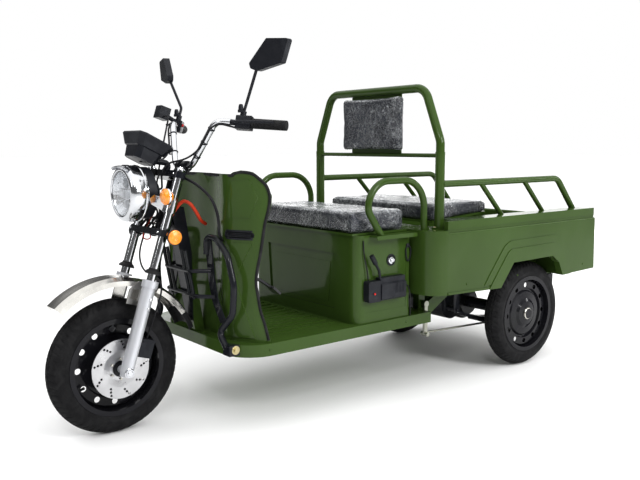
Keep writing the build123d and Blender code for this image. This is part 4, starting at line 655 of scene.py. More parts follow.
def inflate(ob, cap, pressure=4.0, frames=20):
    """Blows the cover up like a stuffed cushion, each point moving at most cap."""
    start = [v.co.copy() for v in ob.data.vertices]
    cloth = ob.modifiers.new("cloth", "CLOTH")
    cloth.settings.use_pressure = True
    cloth.settings.uniform_pressure_force = pressure
    cloth.settings.effector_weights.gravity = 0
    cloth.settings.quality = 4
    cloth.settings.mass = 0.3
    cloth.point_cache.frame_start = 1
    cloth.point_cache.frame_end = frames
    scene = bpy.context.scene
    for i in range(1, frames + 1):
        scene.frame_set(i)
    bake(ob)
    scene.frame_set(1)
    for vertex, origin in zip(ob.data.vertices, start):
        move = vertex.co - origin
        if move.length > cap:
            vertex.co = origin + move.normalized() * cap


def ridged(p, scale, octaves=4):
    """Sharp folded noise, from 0 in the flats to 1 on a crease."""
    value = 0.0
    weight = 1.0
    total = 0.0
    for k in range(octaves):
        value += weight * (1 - abs(noise.noise(p * scale + Vector((k * 7.1, k * 3.3, k * 5.7)))) * 2.2)
        total += weight
        weight *= 0.55
        scale *= 2.03
    return max(0.0, value / total)


def wrap(name, cover, low, high, body, lift, depth, along):
    """Clear film over a cushion: a copy of its skin held just off it and folded into creases."""
    mesh = cover.data.copy()
    ob = bpy.data.objects.new(name, mesh)
    bpy.context.scene.collection.objects.link(ob)
    normals = [v.normal.copy() for v in mesh.vertices]
    for vertex, normal in zip(mesh.vertices, normals):
        p = vertex.co.copy()
        q = Vector([c * a for c, a in zip(p, along)])
        q += noise.noise_vector(p * 7) * 0.03
        fold = ridged(q, 16) ** 3
        vertex.co = p + normal * (lift + depth * fold)
        for i in range(3):
            vertex.co[i] = min(max(vertex.co[i], low[i]), high[i])
    mesh.materials.clear()
    mesh.materials.append(film.material)
    for polygon in mesh.polygons:
        polygon.use_smooth = True
    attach(ob, body)
    return ob


def make_cushion(name, node, body, cap, along, fine):
    low, high = (Vector(c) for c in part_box(node))
    ob = soft_block(name, node, 0.004, 0.006)
    inflate(ob, cap)
    smooth = ob.modifiers.new("smooth", "CORRECTIVE_SMOOTH")
    smooth.iterations = 6
    finer = ob.modifiers.new("finer", "SUBSURF")
    finer.levels = 1
    bake(ob)
    room = 0.0012
    for vertex in ob.data.vertices:
        for i in range(3):
            vertex.co[i] = min(max(vertex.co[i], low[i] + room), high[i] - room)
    ob.data.materials.clear()
    ob.data.materials.append(vinyl.material)
    for polygon in ob.data.polygons:
        polygon.use_smooth = True
    grow = Vector((0.004, 0.004, 0.003))
    wrap(name + "_wrap", ob, low - Vector((0.004, 0.004, 0.0)), high + grow, body, 0.0009, fine, along)
    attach(ob, body)
    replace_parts(ob, node)
    return ob


make_cushion("driver_seat_cushion", "driver_cushion", "seat_lid", 0.012, (1.0, 0.5, 0.6), 0.0035)
make_cushion("bench_seat_cushion", "bench_cushion", "chassis", 0.012, (1.0, 0.5, 0.6), 0.0035)
make_cushion("back_rest_cushion", "back_cushion", "chassis", 0.010, (1.3, 1.0, 0.35), 0.003)

# Leg shield: rubber edging and the vent grilles -----------------------------------------------------


def surface(node):
    """A tree of a node's faces, to lay things on."""
    mesh = nodes[node].data
    return BVHTree.FromPolygons([v.co for v in mesh.vertices], [tuple(p.vertices) for p in mesh.polygons])


shield_skin = surface("leg_shield")
SHIELD_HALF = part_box("leg_shield")[1][0] / 0.997
SHIELD_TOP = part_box("leg_shield")[1][2] - 0.006


def on_shield(x, z):
    """The shield's front face at (x, z), found by looking straight back at it."""
    hit = shield_skin.ray_cast(Vector((x, -1.2, z)), Vector((0, 1, 0)))
    return hit[0]


def make_edging():
    """Black rubber edging pushed over the rim of the leg shield, from foot to foot."""
    half = [
        (0.10, 8), (0.64, 8), (0.70, 2), (0.78, -4), (0.88, 1), (0.945, 21), (0.98, 45), (0.995, 77),
        (0.993, 107),
        (0.983, 137), (0.968, 173), (0.953, 223), (0.936, 273), (0.92, 306), (0.906, 340), (0.902, 373),
        (0.915, 407),
        (0.933, 458), (0.963, 509), (0.983, 560),
    ]
    path = []
    for share, drop in half:
        x = share * SHIELD_HALF - 0.003
        z = SHIELD_TOP - drop / 1000 - (0.004 if share < 0.95 and drop < 30 else 0)
        spot = on_shield(x, z)
        if spot:
            path.append(spot + Vector((0.003, 0.004, 0)))
    path = [Vector((-p.x, p.y, p.z)) for p in reversed(path)] + path
    bm = bmesh.new()
    section = []
    for i in range(10):
        a = 2 * math.pi * i / 10
        section.append((math.cos(a) * 0.0055, math.sin(a) * 0.0050))
    count = len(path)
    smooth = []
    for i in range(count - 1):
        p0 = path[max(i - 1, 0)]
        p1 = path[i]
        p2 = path[i + 1]
        p3 = path[min(i + 2, count - 1)]
        for k in range(6):
            t = k / 6
            smooth.append(0.5 * ((2 * p1) + (p2 - p0) * t + (2 * p0 - 5 * p1 + 4 * p2 - p3) * t * t
                                 + (3 * p1 - p0 - 3 * p2 + p3) * t ** 3))
    smooth.append(path[-1])
    rings = []
    for i, p in enumerate(smooth):
        along = (smooth[min(i + 1, len(smooth) - 1)] - smooth[max(i - 1, 0)]).normalized()
        out = Vector((0, 1, 0)).cross(along).normalized()
        deep = along.cross(out).normalized()
        rings.append([bm.verts.new(p + out * a + deep * b) for a, b in section])
    skin(bm, rings)
    bm.faces.new(rings[0])
    bm.faces.new(rings[-1])
    put("shield_edging", bm, rubber, "chassis")


def make_vents():
    """Black moulded grilles in the shield's two slots, with a raised lip and three bars."""
    bm = bmesh.new()
    inner, outer, height, half = 0.192, 0.296, 0.664, 0.012
    for side in (-1, 1):
        def spot(u, v, lift):
            """A point of the slot: u along it from -1 to 1, v up it in metres."""
            middle_x = (inner + outer) / 2
            x = side * (middle_x + u * (outer - inner) / 2)
            reach = max(-1.22, min(1.22, u * 1.22))
            probe_x = side * (middle_x + reach * (outer - inner) / 2)
            hit = on_shield(side * middle_x,
                height + 0.03) if abs(u) < 0.01 else on_shield(probe_x if abs(u) > 0.9 else x, height + 0.022)
            y = hit.y if hit else -0.6
            return Vector((x, y - lift, height + v))

        def ring(grow, lift):
            points = []
            for k in range(32):
                a = 2 * math.pi * k / 32
                cap = math.copysign((outer - inner) / 2 - half, math.cos(a)) if abs(math.cos(a)) > 1e-6 else 0
                x = cap + math.cos(a) * (half + grow)
                u = x / ((outer - inner) / 2)
                points.append(bm.verts.new(spot(u, math.sin(a) * (half + grow), lift)))
            return points

        rings = [ring(0.0045, -0.002), ring(0.0045, 0.0022), ring(0.0025, 0.0034), ring(-0.0012, 0.003),
            ring(-0.0022, -0.0015)]
        skin(bm, rings)
        bm.faces.new(rings[-1])
        for v in (-0.005, 0.0, 0.005):
            strip = []
            for k in range(15):
                u = -0.8 + 1.6 * k / 14
                base = spot(u, v, 0.0)
                strip.append([bm.verts.new(base + Vector((0, dy, dz))) for dy, dz in
                              ((0.0014, -0.0011), (-0.0024, -0.0008), (-0.0024, 0.0008), (0.0014, 0.0011))])
            skin(bm, strip)
            bm.faces.new(strip[0])
            bm.faces.new(strip[-1])
    put("shield_vent_grilles", bm, plastic, "chassis")


make_edging()
make_vents()

# Headlamp -----------------------------------------------------------------------------------------

lamp_low, lamp_high = (Vector(c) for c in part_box("headlamp_lens"))
LAMP_RADIUS = (lamp_high.x - lamp_low.x) / 2
LAMP_FRONT = Vector((0, lamp_low.y + 0.005, lamp_low.z + LAMP_RADIUS))
LAMP_BACK = lamp_high.y
lamp_axis = axes(LAMP_FRONT, (0, -1, 0))


def make_headlamp():
    """Chrome bezel with its peak, a faceted bowl, the twin lamp block and the fluted glass."""
    depth = LAMP_BACK - LAMP_FRONT.y
    r = LAMP_RADIUS
    bm = bmesh.new()
    lathe(bm, lamp_axis, [
        (-depth + 0.0005, r - 0.008), (-depth + 0.0005, r - 0.004), (-depth + 0.004, r - 0.001),
        (-depth + 0.009, r),
        (-depth + 0.012, r - 0.0022), (-depth + 0.015, r - 0.0004), (-0.014, r - 0.0006), (-0.008, r - 0.002),
        (-0.003, r - 0.006), (0.0012, r - 0.011), (0.0030, r - 0.0155), (0.0020, r - 0.0195),
        (-0.002, r - 0.0212),
        (-0.008, r - 0.022), (-depth + 0.006, r - 0.020), (-depth + 0.003, r - 0.010),
    ], 96, True)
    top = bmesh.new()
    rows = 9
    columns = 25
    grid = []
    for i in range(rows):
        u = i / (rows - 1)
        row = []
        for j in range(columns):
            a = math.radians(-34 + 68 * j / (columns - 1))
            fade = 1 - (abs(j - (columns - 1) / 2) / ((columns - 1) / 2)) ** 2.4
            out = r - 0.003 + 0.0022 * math.sin(u * math.pi)
            along = -0.026 + u * (0.030 + 0.019 * fade)
            rise = -0.002 * u * u * fade
            row.append(top.verts.new(lamp_axis @ Vector((0, 0, 0)) + Vector((
                (out + rise) * math.sin(a), -along, (out + rise) * math.cos(a)))))
        grid.append(row)
    for a, b in zip(grid, grid[1:]):
        for j in range(columns - 1):
            top.faces.new((a[j], a[j + 1], b[j + 1], b[j]))
    bmesh.ops.solidify(top, geom=top.faces[:], thickness=0.0018)
    bezel = put("headlamp_bezel", bm, chrome, "steering")
    put("headlamp_peak", top, chrome, "steering")
    dashes = bmesh.new()
    for k in (-2, -1, 0, 1, 2):
        corners = []
        for du, dv in ((-1, -1), (1, -1), (1, 1), (-1, 1)):
            a = math.radians(4.6 * k + du * 1.5)
            along = -0.016 + dv * 0.0065 - abs(k) * 0.001
            corners.append((a, along))
        layers = []
        for out in (r - 0.0012, r + 0.0006):
            layers.append([dashes.verts.new(LAMP_FRONT + Vector((out * math.sin(a), -along,
                out * math.cos(a)))) for a, along in corners])
        dashes.faces.new(layers[1])
        for m in range(4):
            n = (m + 1) % 4
            dashes.faces.new((layers[0][m], layers[0][n], layers[1][n], layers[1][m]))
    put("headlamp_top_slots", dashes, plastic, "steering")
    bowl = bmesh.new()
    rings = []
    sectors = 24
    for i in range(9):
        u = i / 8
        radius = (r - 0.0225) * (1 - u) + 0.016 * u
        along = -0.006 - 0.028 * math.sin(u * math.pi / 2)
        ring = []
        for k in range(sectors * 4):
            a = 2 * math.pi * k / (sectors * 4)
            facet = (k % 4) / 4
            dip = 0.0018 * math.sin(facet * math.pi) * (0.4 + 0.6 * u) + 0.0012 * (i % 2)
            ring.append(bowl.verts.new(lamp_axis @ Vector((radius * math.cos(a), radius * math.sin(a),
                along - dip))))
        rings.append(ring)
    skin(bowl, rings)
    bowl.faces.new(rings[-1])
    put("headlamp_reflector", bowl, chrome, "steering", 0.3)
    block = bmesh.new()
    for x0, x1, z0, z1 in ((-0.040, -0.004, -0.013, 0.013), (0.004, 0.040, -0.013, 0.013),
            (-0.006, 0.006, -0.050, -0.020),
                           (-0.006, 0.006, 0.020, 0.050)):
        made = bmesh.ops.create_cube(block, size=1.0)
        for v in made["verts"]:
            v.co = LAMP_FRONT + Vector((x0 + (v.co.x + 0.5) * (x1 - x0), 0.012 + (v.co.y + 0.5) * 0.016,
                                        z0 + (v.co.z + 0.5) * (z1 - z0)))
    bmesh.ops.bevel(block, geom=block.edges[:], offset=0.003, segments=3, affect="EDGES")
    put("headlamp_lamp_block", block, silver, "steering")
    lens = bmesh.new()
    profile_front = []
    for i in range(13):
        u = i / 12
        profile_front.append((0.0042 * (1 - u * u) - 0.001, max(0.0, (r - 0.0215) * u)))
    flutes = []
    for along, radius in profile_front:
        flutes.append((along + (0.0005 if int(radius * 1000 / 5) % 2 else 0.0), radius))
    back = [(a - 0.0035, q) for a, q in reversed(profile_front)]
    lathe(lens, lamp_axis, flutes + back, 72)
    glass_piece = put("headlamp_glass", lens, glass, "steering")
    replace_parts(bezel, "headlamp_lens")
    return glass_piece


make_headlamp()


def make_signal_caps():
    """Ribbed amber fronts of the turn signals, with a bright base ring behind each."""
    bm = bmesh.new()
    rims = bmesh.new()
    for side in (-1, 1):
        centre = fork(side * 0.146, -0.046, 0.582)
        m = axes(centre, (0, -1, 0))
        ridges = []
        for i in range(15):
            u = i / 14
            radius = 0.0266 * (1 - u) ** 0.62 if u < 1 else 0.0
            ridges.append((0.0078 + 0.0096 * u + (0.0009 if i % 2 else 0.0), radius))
        ridges[-1] = (0.0182, 0.0)
        lathe(bm, m, [(0.006, 0.0)] + [(0.006, 0.0268)] + ridges, 40)
        lathe(rims, m, [(-0.004, 0.0262), (-0.004, 0.0278), (0.0005, 0.0284), (0.0028, 0.0278),
            (0.0028, 0.0262)], 40, True)
        post = axes(centre + Vector((0, 0.016, 0)), (0, 1, 0))
        lathe(rims, post, [(0, 0.0), (0, 0.010), (0.007, 0.009), (0.010, 0.006), (0.010, 0)], 16)
    put("signal_ribbed_lenses", bm, amber, "steering", 0.25)
    put("signal_rims", rims, chrome, "steering")
    backs = bmesh.new()
    faces = bmesh.new()
    for side in (-1, 1):
        centre = fork(side * 0.144, 0.020, 0.462)
        out = axes(centre, (side, 0, 0))
        lathe(backs, out, [(-0.0085, 0.0), (-0.0085, 0.024), (-0.002, 0.0266), (0.0035, 0.0266),
            (0.0035, 0.0245), (-0.006, 0.023)], 40)
        rings = [(0.0068, 0.0235)]
        for i in range(8):
            rings.append((0.0078 + (0.0007 if i % 2 else 0) + 0.0010 * i / 8, 0.0222 * (1 - i / 8)))
        rings.append((0.0094, 0.0))
        lathe(faces, out, rings, 40)
    put("side_reflector_cups", backs, plastic, "steering")
    put("side_reflector_faces", faces, amber, "steering", 0.25)


make_signal_caps()

# Fork, bar and controls ---------------------------------------------------------------------------


def make_fork_fittings():
    """Stanchion caps, dust seals, axle nuts, clamp bolts and the steering stem's nut."""
    bright = bmesh.new()
    dark = bmesh.new()
    for side in (-1, 1):
        cap = axes(fork(side * 0.101, 0, 0.684), UP)
        lathe(bright, cap, [(-0.002, 0.0156), (0.002, 0.0160), (0.0045, 0.0150), (0.0065, 0.0125),
            (0.0072, 0.0085), (0.0105, 0.008),
                            (0.0115, 0.006), (0.0118, 0)], 36)
        seal = axes(fork(side * 0.101, 0, 0.330), UP)
        lathe(dark, seal, [(-0.002, 0.0175), (-0.002, 0.0268), (0.003, 0.0274), (0.006, 0.0245),
            (0.010, 0.0215), (0.0115, 0.0175),
                           (0.0165, 0.0170), (0.0175, 0.0156)], 36)
        hex_bolt(bright, fork(side * 0.1235, 0, 0.0), (side, 0, 0), 0.0105)
        for up in (0.455, 0.656):
            round_bolt(bright, fork(side * 0.101, -0.0225, up + 0.011), -BEHIND, 0.0045)
        round_bolt(bright, fork(side * 0.1235, 0.006, 0.245), (side, 0, 0), 0.0055)
        round_bolt(bright, fork(side * 0.1232, 0.006, 0.215), (side, 0, 0), 0.0055)
    nut = axes(fork(0, 0.045, 0.668), UP)
    lathe(bright, nut, [(0, 0.0), (0, 0.018), (0.003, 0.0185), (0.004, 0.016)], 32)
    lathe(bright, nut, [(0.003, 0.0), (0.003, 0.0155), (0.013, 0.0155), (0.0145, 0.0135), (0.0145, 0.0)], 6)
    put("fork_bright_fittings", bright, chrome, "steering")
    put("fork_dust_seals", dark, rubber, "steering")


make_fork_fittings()

GRIP_END = (0.349, 0.203, 0.903)
GRIP_KNEE = (0.150, 0.054, 0.872)
GRIP_LENGTH = 0.122


def bar_line(side):
    """End of the bar and the unit vector out along the grip, in the row frame."""
    end = fork(side * GRIP_END[0], GRIP_END[1], GRIP_END[2])
    knee = fork(side * GRIP_KNEE[0], GRIP_KNEE[1], GRIP_KNEE[2])
    return end, (end - knee).normalized()


def make_grips():
    """Rubber grips: a flange, close rings and a rounded end."""
    bm = bmesh.new()
    for side in (-1, 1):
        end, out = bar_line(side)
        m = axes(end - out * GRIP_LENGTH, out)
        profile = [(0.0, 0.0112), (0.0, 0.0168), (0.004, 0.0172), (0.006, 0.0160)]
        along = 0.008
        while along < GRIP_LENGTH - 0.008:
            profile += [(along, 0.0158), (along + 0.0006, 0.0168), (along + 0.0028, 0.0168),
                (along + 0.0034, 0.0158)]
            along += 0.0045
        profile += [(GRIP_LENGTH - 0.004, 0.0168), (GRIP_LENGTH - 0.001, 0.0160), (GRIP_LENGTH, 0.0135),
            (GRIP_LENGTH, 0.0)]
        lathe(bm, m, profile, 40)
    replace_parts(put("ribbed_grips", bm, rubber, "steering"), "grips")


make_grips()


def make_controls_detail():
    """Buttons and screws on the switch housings, and the fluid box's lid."""
    dark = bmesh.new()
    red = bmesh.new()
    bright = bmesh.new()
    for side in (-1, 1):
        end, out = bar_line(side)
        base = end - out * (GRIP_LENGTH + 0.026)
        back = (BEHIND - out * BEHIND.dot(out)).normalized()
        above = out.cross(back)
        if above.z < 0:
            above = -above
        for offset, width, height in ((-0.013, 0.010, 0.012), (0.004, 0.009, 0.009), (0.017, 0.007, 0.009)):
            button = red if (side < 0 and offset < 0) else dark
            m = axes(base + out * offset + above * 0.008 + back * 0.0185, back)
            lathe(button, m, [(0, 0.0), (0, width / 2 + 0.0012), (0.003, width / 2 + 0.0008),
                (0.0052, width / 2 - 0.0006), (0.0058, 0)], 20)
        for turn in (-0.016, 0.016):
            round_bolt(bright, base + out * turn - above * 0.0225, -above, 0.003)
        if side < 0:
            m = axes(base + out * 0.002 - back * 0.019 - above * 0.004, -back)
            lathe(red, m, [(0, 0), (0, 0.0085), (0.006, 0.0082), (0.0085, 0.0065), (0.009, 0)], 24)
    put("switch_buttons", dark, plastic, "steering")
    put("red_switches", red, red_plastic, "steering")
    put("control_screws", bright, zinc, "steering")


make_controls_detail()


def make_mirror_glass():
    """Bright mirror faces set in the heads' rear sides, and the locknuts under the stems."""
    tree = surface("mirrors")
    bm = bmesh.new()
    dark = bmesh.new()
    w, h = 0.079, 0.050
    kite = [(-0.92, -0.50), (-0.12, 0.86), (0.88, 0.76), (0.56, -0.54), (-0.55, -0.86), (-0.84, -0.72)]
    for side in (-1, 1):
        centre = fork(side * 0.352, 0.070, 1.094)
        toe = math.radians(17.0) * side
        right = Vector((math.cos(toe) * side, math.sin(toe) * side, 0))
        face = Vector((-math.sin(toe), math.cos(toe), 0))
        up = Vector((0, 0, 1))
        outer = []
        inner = []
        for x, z in kite:
            spot = centre + right * (x * w) + up * (z * h)
            hit = tree.ray_cast(spot + face * 0.08, -face)
            y = (hit[0] - spot).dot(face) if hit[0] else 0.012
            outer.append(bm.verts.new(spot + face * (y - 0.0005)))
            inner.append(bm.verts.new(spot * 0.97 + centre * 0.03 + face * (y + 0.0012)))
        count = len(kite)
        for k in range(count):
            j = (k + 1) % count
            bm.faces.new((outer[k], outer[j], inner[j], inner[k]))
        bm.faces.new(inner)
        end, out = bar_line(side)
        foot = end - out * 0.160
        lathe(dark, axes(foot + Vector((0, 0, 0.034)), (0, 0, 1)),
            [(0, 0), (0, 0.0105), (0.009, 0.0105), (0.010, 0.008), (0.010, 0)], 6)
        lathe(dark, axes(foot + Vector((0, 0, 0.044)), (0, 0, 1)),
            [(0, 0.0), (0, 0.0085), (0.010, 0.0078), (0.017, 0.0058), (0.018, 0)], 24)
    put("mirror_glass", bm, chrome, "steering")
    put("mirror_locknuts", dark, plastic, "steering")


make_mirror_glass()


def make_pod_face():
    """The instrument pod's display: a dark glass in a raised bezel, with bar marks."""
    tree = surface("instrument_pod")
    tilt = math.radians(26.5)
    normal = Vector((0, math.sin(tilt), math.cos(tilt)))
    down = Vector((0, math.cos(tilt), -math.sin(tilt)))
    centre = fork(0, -0.090, 0.762)
    hit = tree.ray_cast(centre + normal * 0.1, -normal)
    if hit[0]:
        centre = hit[0]
    bm = bmesh.new()
    shine = bmesh.new()
    marks = bmesh.new()

    def plate(target, half_x, half_y, low_z, high_z, bevel, at=(0, 0)):
        made = bmesh.ops.create_cube(target, size=2.0)
        for v in made["verts"]:
            spot = centre + Vector((1, 0, 0)) * (v.co.x * half_x + at[0]) + down * (v.co.y * half_y + at[1])
            v.co = spot + normal * (high_z if v.co.z > 0 else low_z)
        edges = {e for v in made["verts"] for e in v.link_edges}
        bmesh.ops.bevel(target, geom=list(edges), offset=bevel, segments=3, affect="EDGES")

    plate(bm, 0.064, 0.052, -0.001, 0.0016, 0.0010)
    plate(shine, 0.056, 0.044, 0.001, 0.0024, 0.0008)
    for k in range(8):
        plate(marks, 0.0022, 0.004 + 0.0008 * k, 0.0022, 0.0029, 0.0002, (-0.028 + 0.008 * k, -0.016))
    plate(marks, 0.030, 0.0009, 0.0022, 0.0029, 0.0002, (0, -0.004))
    put("pod_bezel", bm, plastic, "steering")
    put("pod_display", shine, pod_glass, "steering")
    put("pod_bar_marks", marks, silver, "steering")


def pod_glass_material():
    s = Shader("pod_display_glass", Coat_Weight=1.0, Coat_Roughness=0.02)
    s.colour(s.ramp(s.noise(30, 2), (0.3, (0.006, 0.008, 0.012)), (0.7, (0.012, 0.015, 0.020))))
    s.rough(s.noise(60, 3), 0.03, 0.10)
    s.bump(s.noise(200, 2), 0.00003)
    return s


pod_glass = pod_glass_material()
make_pod_face()

# Cables -------------------------------------------------------------------------------------------


def band(bm, centre, way, aside, radius, thick, width):
    """A flat tie drawn tight round the bar (radius 0.011) and the cable that lies beside it."""
    across = aside.normalized()
    other = way.cross(across)
    rings = []
    for k in range(40):
        a = 2 * math.pi * k / 40
        facing = across * math.cos(a) + other * math.sin(a)
        on_bar = facing * 0.0112
        on_cable = aside + facing * radius
        point = on_bar if on_bar.dot(facing) > on_cable.dot(facing) else on_cable
        inner, outer = centre + point, centre + point + facing * thick
        half = way * (width / 2)
        rings.append([bm.verts.new(p) for p in (inner - half, outer - half, outer + half, inner + half)])
    for k in range(40):
        a, b = rings[k], rings[(k + 1) % 40]
        for q in range(4):
            bm.faces.new((a[q], b[q], b[(q + 1) % 4], a[(q + 1) % 4]))


def make_cables():
    """Ties that hold the cables to the bar, and the cables themselves."""
    ties = bmesh.new()
    for side, spots in ((1, (0.030, 0.085, 0.140)), (-1, (0.045, 0.125))):
        start = fork(side * 0.150, 0.054, 0.872)
        finish = fork(side * 0.058, 0.061, 0.715)
        way = (finish - start).normalized()
        aside = Vector((side * 0.592, -0.711, -0.378)) * 0.0177
        aside -= way * aside.dot(way)
        for along in spots:
            band(ties, start + way * along, way, aside.normalized() * 0.0177, 0.0034, 0.0012, 0.0046)
    put("cable_ties", ties, plastic, "steering")
    cord_line("shield_hose", [
        fork(0.055, 0.012, 0.672), Vector((0.100, -0.722, 0.846)), Vector((0.148, -0.704, 0.822)),
        Vector((0.190, -0.688, 0.786)),
        Vector((0.206, -0.676, 0.741)), Vector((0.204, -0.668, 0.700)), Vector((0.196, -0.662, 0.668)),
        Vector((0.180, -0.640, 0.640)),
    ], 0.0048, cable_skin, blend=("steering", "chassis", (0.08, -0.74, 0.85), (0.19, -0.688, 0.786)))
    cord_line("red_power_cable", [
        Vector((0.052, -0.768, 0.716)), Vector((0.066, -0.748, 0.752)), Vector((0.082, -0.732, 0.772)),
        Vector((0.096, -0.714, 0.764)),
        Vector((0.100, -0.694, 0.736)), Vector((0.092, -0.672, 0.706)), Vector((0.078, -0.645, 0.690)),
    ], 0.0062, red_skin, blend=("steering", "chassis", (0.06, -0.75, 0.74), (0.095, -0.69, 0.73)))
    random.seed(11)
    for k in range(7):
        x = -0.045 + 0.015 * k
        start = Vector((x * 0.5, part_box("headlamp_shell")[1][1] - 0.004,
            LAMP_FRONT.z - 0.045 + 0.008 * (k % 3)))
        sag = 0.055 + 0.045 * random.random()
        finish = fork(x * 0.5, 0.016, 0.500 + 0.02 * (k % 2))
        centre = (start + finish) / 2 + Vector((x * 1.3, -0.020, -sag))
        cord_line(f"loom_wire_{k}", [
            start, start + Vector((x * 0.5, 0.012, -0.03)), centre + Vector((0, -0.014, 0.016)),
            centre + Vector((0, 0.012, 0.004)),
            finish + Vector((x * 0.4, -0.02, -0.01)), finish,
        ], 0.0022 if k % 3 else 0.0034, cable_skin if k != 2 else red_skin, "steering")
    random.seed(7)


make_cables()

# Wheels -------------------------------------------------------------------------------------------


def make_wheel_fittings():
    """Valve stems, disc bolts and the rear hubs' bright caps."""
    for body, centre, side in (("front_wheel", FRONT, 1), ("rear_left_wheel", REAR_LEFT, 1),
            ("rear_right_wheel", REAR_RIGHT, -1)):
        dark = bmesh.new()
        bright = bmesh.new()
        angle = math.radians(205)
        radial = Vector((0, math.cos(angle), math.sin(angle)))
        stem_root = centre + radial * 0.1475 + Vector((side * 0.012, 0, 0))
        stem = axes(stem_root, -radial + Vector((side * 0.35, 0, 0)))
        lathe(dark, stem, [(-0.004, 0.0), (-0.004, 0.0065), (0.006, 0.0048), (0.018, 0.0040),
            (0.019, 0.0046), (0.026, 0.0044), (0.027, 0)], 16)
        if body == "front_wheel":
            for k in range(6):
                a = 2 * math.pi * (k + 0.5) / 6
                spot = centre + Vector((0.0585, 0.034 * math.cos(a), 0.034 * math.sin(a)))
                round_bolt(bright, spot, (1, 0, 0), 0.0042)
        else:
            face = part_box("rim_rear_left")[1][0] - REAR_LEFT.x
            hub = axes(centre + Vector((side * (face - 0.0005), 0, 0)), (side, 0, 0))
            lathe(bright, hub, [(-0.008, 0.0), (-0.008, 0.0254), (-0.003, 0.0252), (-0.0005, 0.0215),
                (0.0, 0.020), (0.0002, 0.0165),
                                (-0.0006, 0.013), (-0.0006, 0.0)], 40)
        put(f"{body}_valve", dark, rubber, body)
        put(f"{body}_bright_parts", bright, zinc, body)


make_wheel_fittings()

# Seat box -----------------------------------------------------------------------------------------

BOX_SIDE = 0.330


def make_lock():
    """The ignition lock in its black collar and the latch ring, on the seat box's left side."""
    bright = bmesh.new()
    dark = bmesh.new()
    m = axes((BOX_SIDE - 0.002, 0.004, 0.530), (1, 0, 0))
    lathe(bright, m, [(0, 0.0), (0, 0.0160), (0.004, 0.0160), (0.0062, 0.0145), (0.0068, 0.0115),
        (0.0058, 0.0105), (0.0058, 0.0)], 48)
    lathe(bright, m, [(0.005, 0.0), (0.005, 0.0085), (0.0125, 0.0082), (0.0138, 0.0070), (0.0138, 0.0)], 32)
    lathe(dark, m, [(0, 0.0164), (0, 0.0225), (0.0040, 0.0220), (0.0052, 0.0168)], 48, True)
    slot_box = bmesh.ops.create_cube(dark, size=1.0)
    for v in slot_box["verts"]:
        v.co = Vector((BOX_SIDE + 0.0105 + v.co.x * 0.003, 0.004 + v.co.y * 0.0022, 0.530 + v.co.z * 0.011))
    put("ignition_lock", bright, chrome, "chassis")
    put("ignition_lock_collar", dark, plastic, "chassis")
    ring = bmesh.new()
    hang = Vector((BOX_SIDE + 0.0035, 0.092, 0.548))
    loop = []
    for k in range(40):
        a = 2 * math.pi * k / 40
        loop.append(hang + Vector((0.0018 * math.sin(2 * a), 0.0125 * math.sin(a), 0.030 * math.cos(a))))
    rings = []
    for i, p in enumerate(loop):
        along = (loop[(i + 1) % 40] - loop[i - 1]).normalized()
        m = axes(p, along, (1, 0, 0))
        rings.append([ring.verts.new(m @ Vector((0.0026 * math.cos(b), 0.0026 * math.sin(b), 0))) for b in
                      [2 * math.pi * q / 8 for q in range(8)]])
    for i in range(40):
        a, b = rings[i], rings[(i + 1) % 40]
        for k in range(8):
            j = (k + 1) % 8
            ring.faces.new((a[k], a[j], b[j], b[k]))
    lathe(ring, axes(hang + Vector((-0.0045, 0, 0.030)), (1, 0, 0)),
        [(0, 0), (0, 0.009), (0.004, 0.0085), (0.0065, 0.005), (0.0068, 0)], 24)
    put("latch_ring", ring, plastic, "chassis")


make_lock()


def make_lever_detail():
    """Ribs and a small red button on the hand lever's housing."""
    dark = bmesh.new()
    for k in range(6):
        y = 0.000 + 0.008 * k
        made = bmesh.ops.create_cube(dark, size=1.0)
        for v in made["verts"]:
            v.co = Vector((0.3645 + v.co.x * 0.0024, y + v.co.y * 0.0026, 0.430 + v.co.z * 0.040))
    put("lever_housing_ribs", dark, plastic, "chassis")
    red = bmesh.new()
    lathe(red, axes((0.3636, -0.108, 0.418), (1, 0, 0)),
        [(0, 0), (0, 0.0042), (0.0014, 0.0039), (0.0020, 0.0026), (0.0020, 0)], 20)
    put("lever_housing_button", red, red_plastic, "chassis")


make_lever_detail()


def make_bolts():
    """Visible bolt heads of the chassis, body and rails."""
    bright = bmesh.new()
    dull = bmesh.new()
    hoop_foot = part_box("roll_bar")[0][2]
    for side in (-1, 1):
        hex_bolt(bright, Vector((side * 0.290, -0.664, 0.288)), (side, 0, 0), 0.0095)
        round_bolt(bright, Vector((side * 0.368, 0.201, hoop_foot + 0.005)), (0, 0, 1), 0.0052)
        for y in (-0.56, 0.08):
            round_bolt(dull, Vector((side * 0.3402, y, 0.281)), (side, 0, 0), 0.0040)
        for y in (0.30, 0.62, 1.10):
            round_bolt(dull, Vector((side * 0.4502, y, 0.420)), (side, 0, 0), 0.0040)
    put("body_bolts", bright, yellow_zinc, "chassis")
    put("painted_bolts", dull, green, "chassis")


make_bolts()

# Camera, floor and lights -------------------------------------------------------------------------

camera_data = bpy.data.cameras.new("camera")
camera_data.lens = 42.61
camera_data.sensor_width = 36.0
camera = bpy.data.objects.new("camera", camera_data)
bpy.context.scene.collection.objects.link(camera)
azimuth = math.radians(51.258)
pitch = math.radians(7.106)
forward = Vector((-math.sin(azimuth) * math.cos(pitch), math.cos(azimuth) * math.cos(pitch),
    -math.sin(pitch)))
camera.rotation_euler = (forward.to_track_quat("-Z",
    "Y").to_matrix() @ Matrix.Rotation(math.radians(-0.144), 3, "Z")).to_euler()
camera.location = (2.3647, -1.9712, 0.9582)
bpy.context.scene.camera = camera


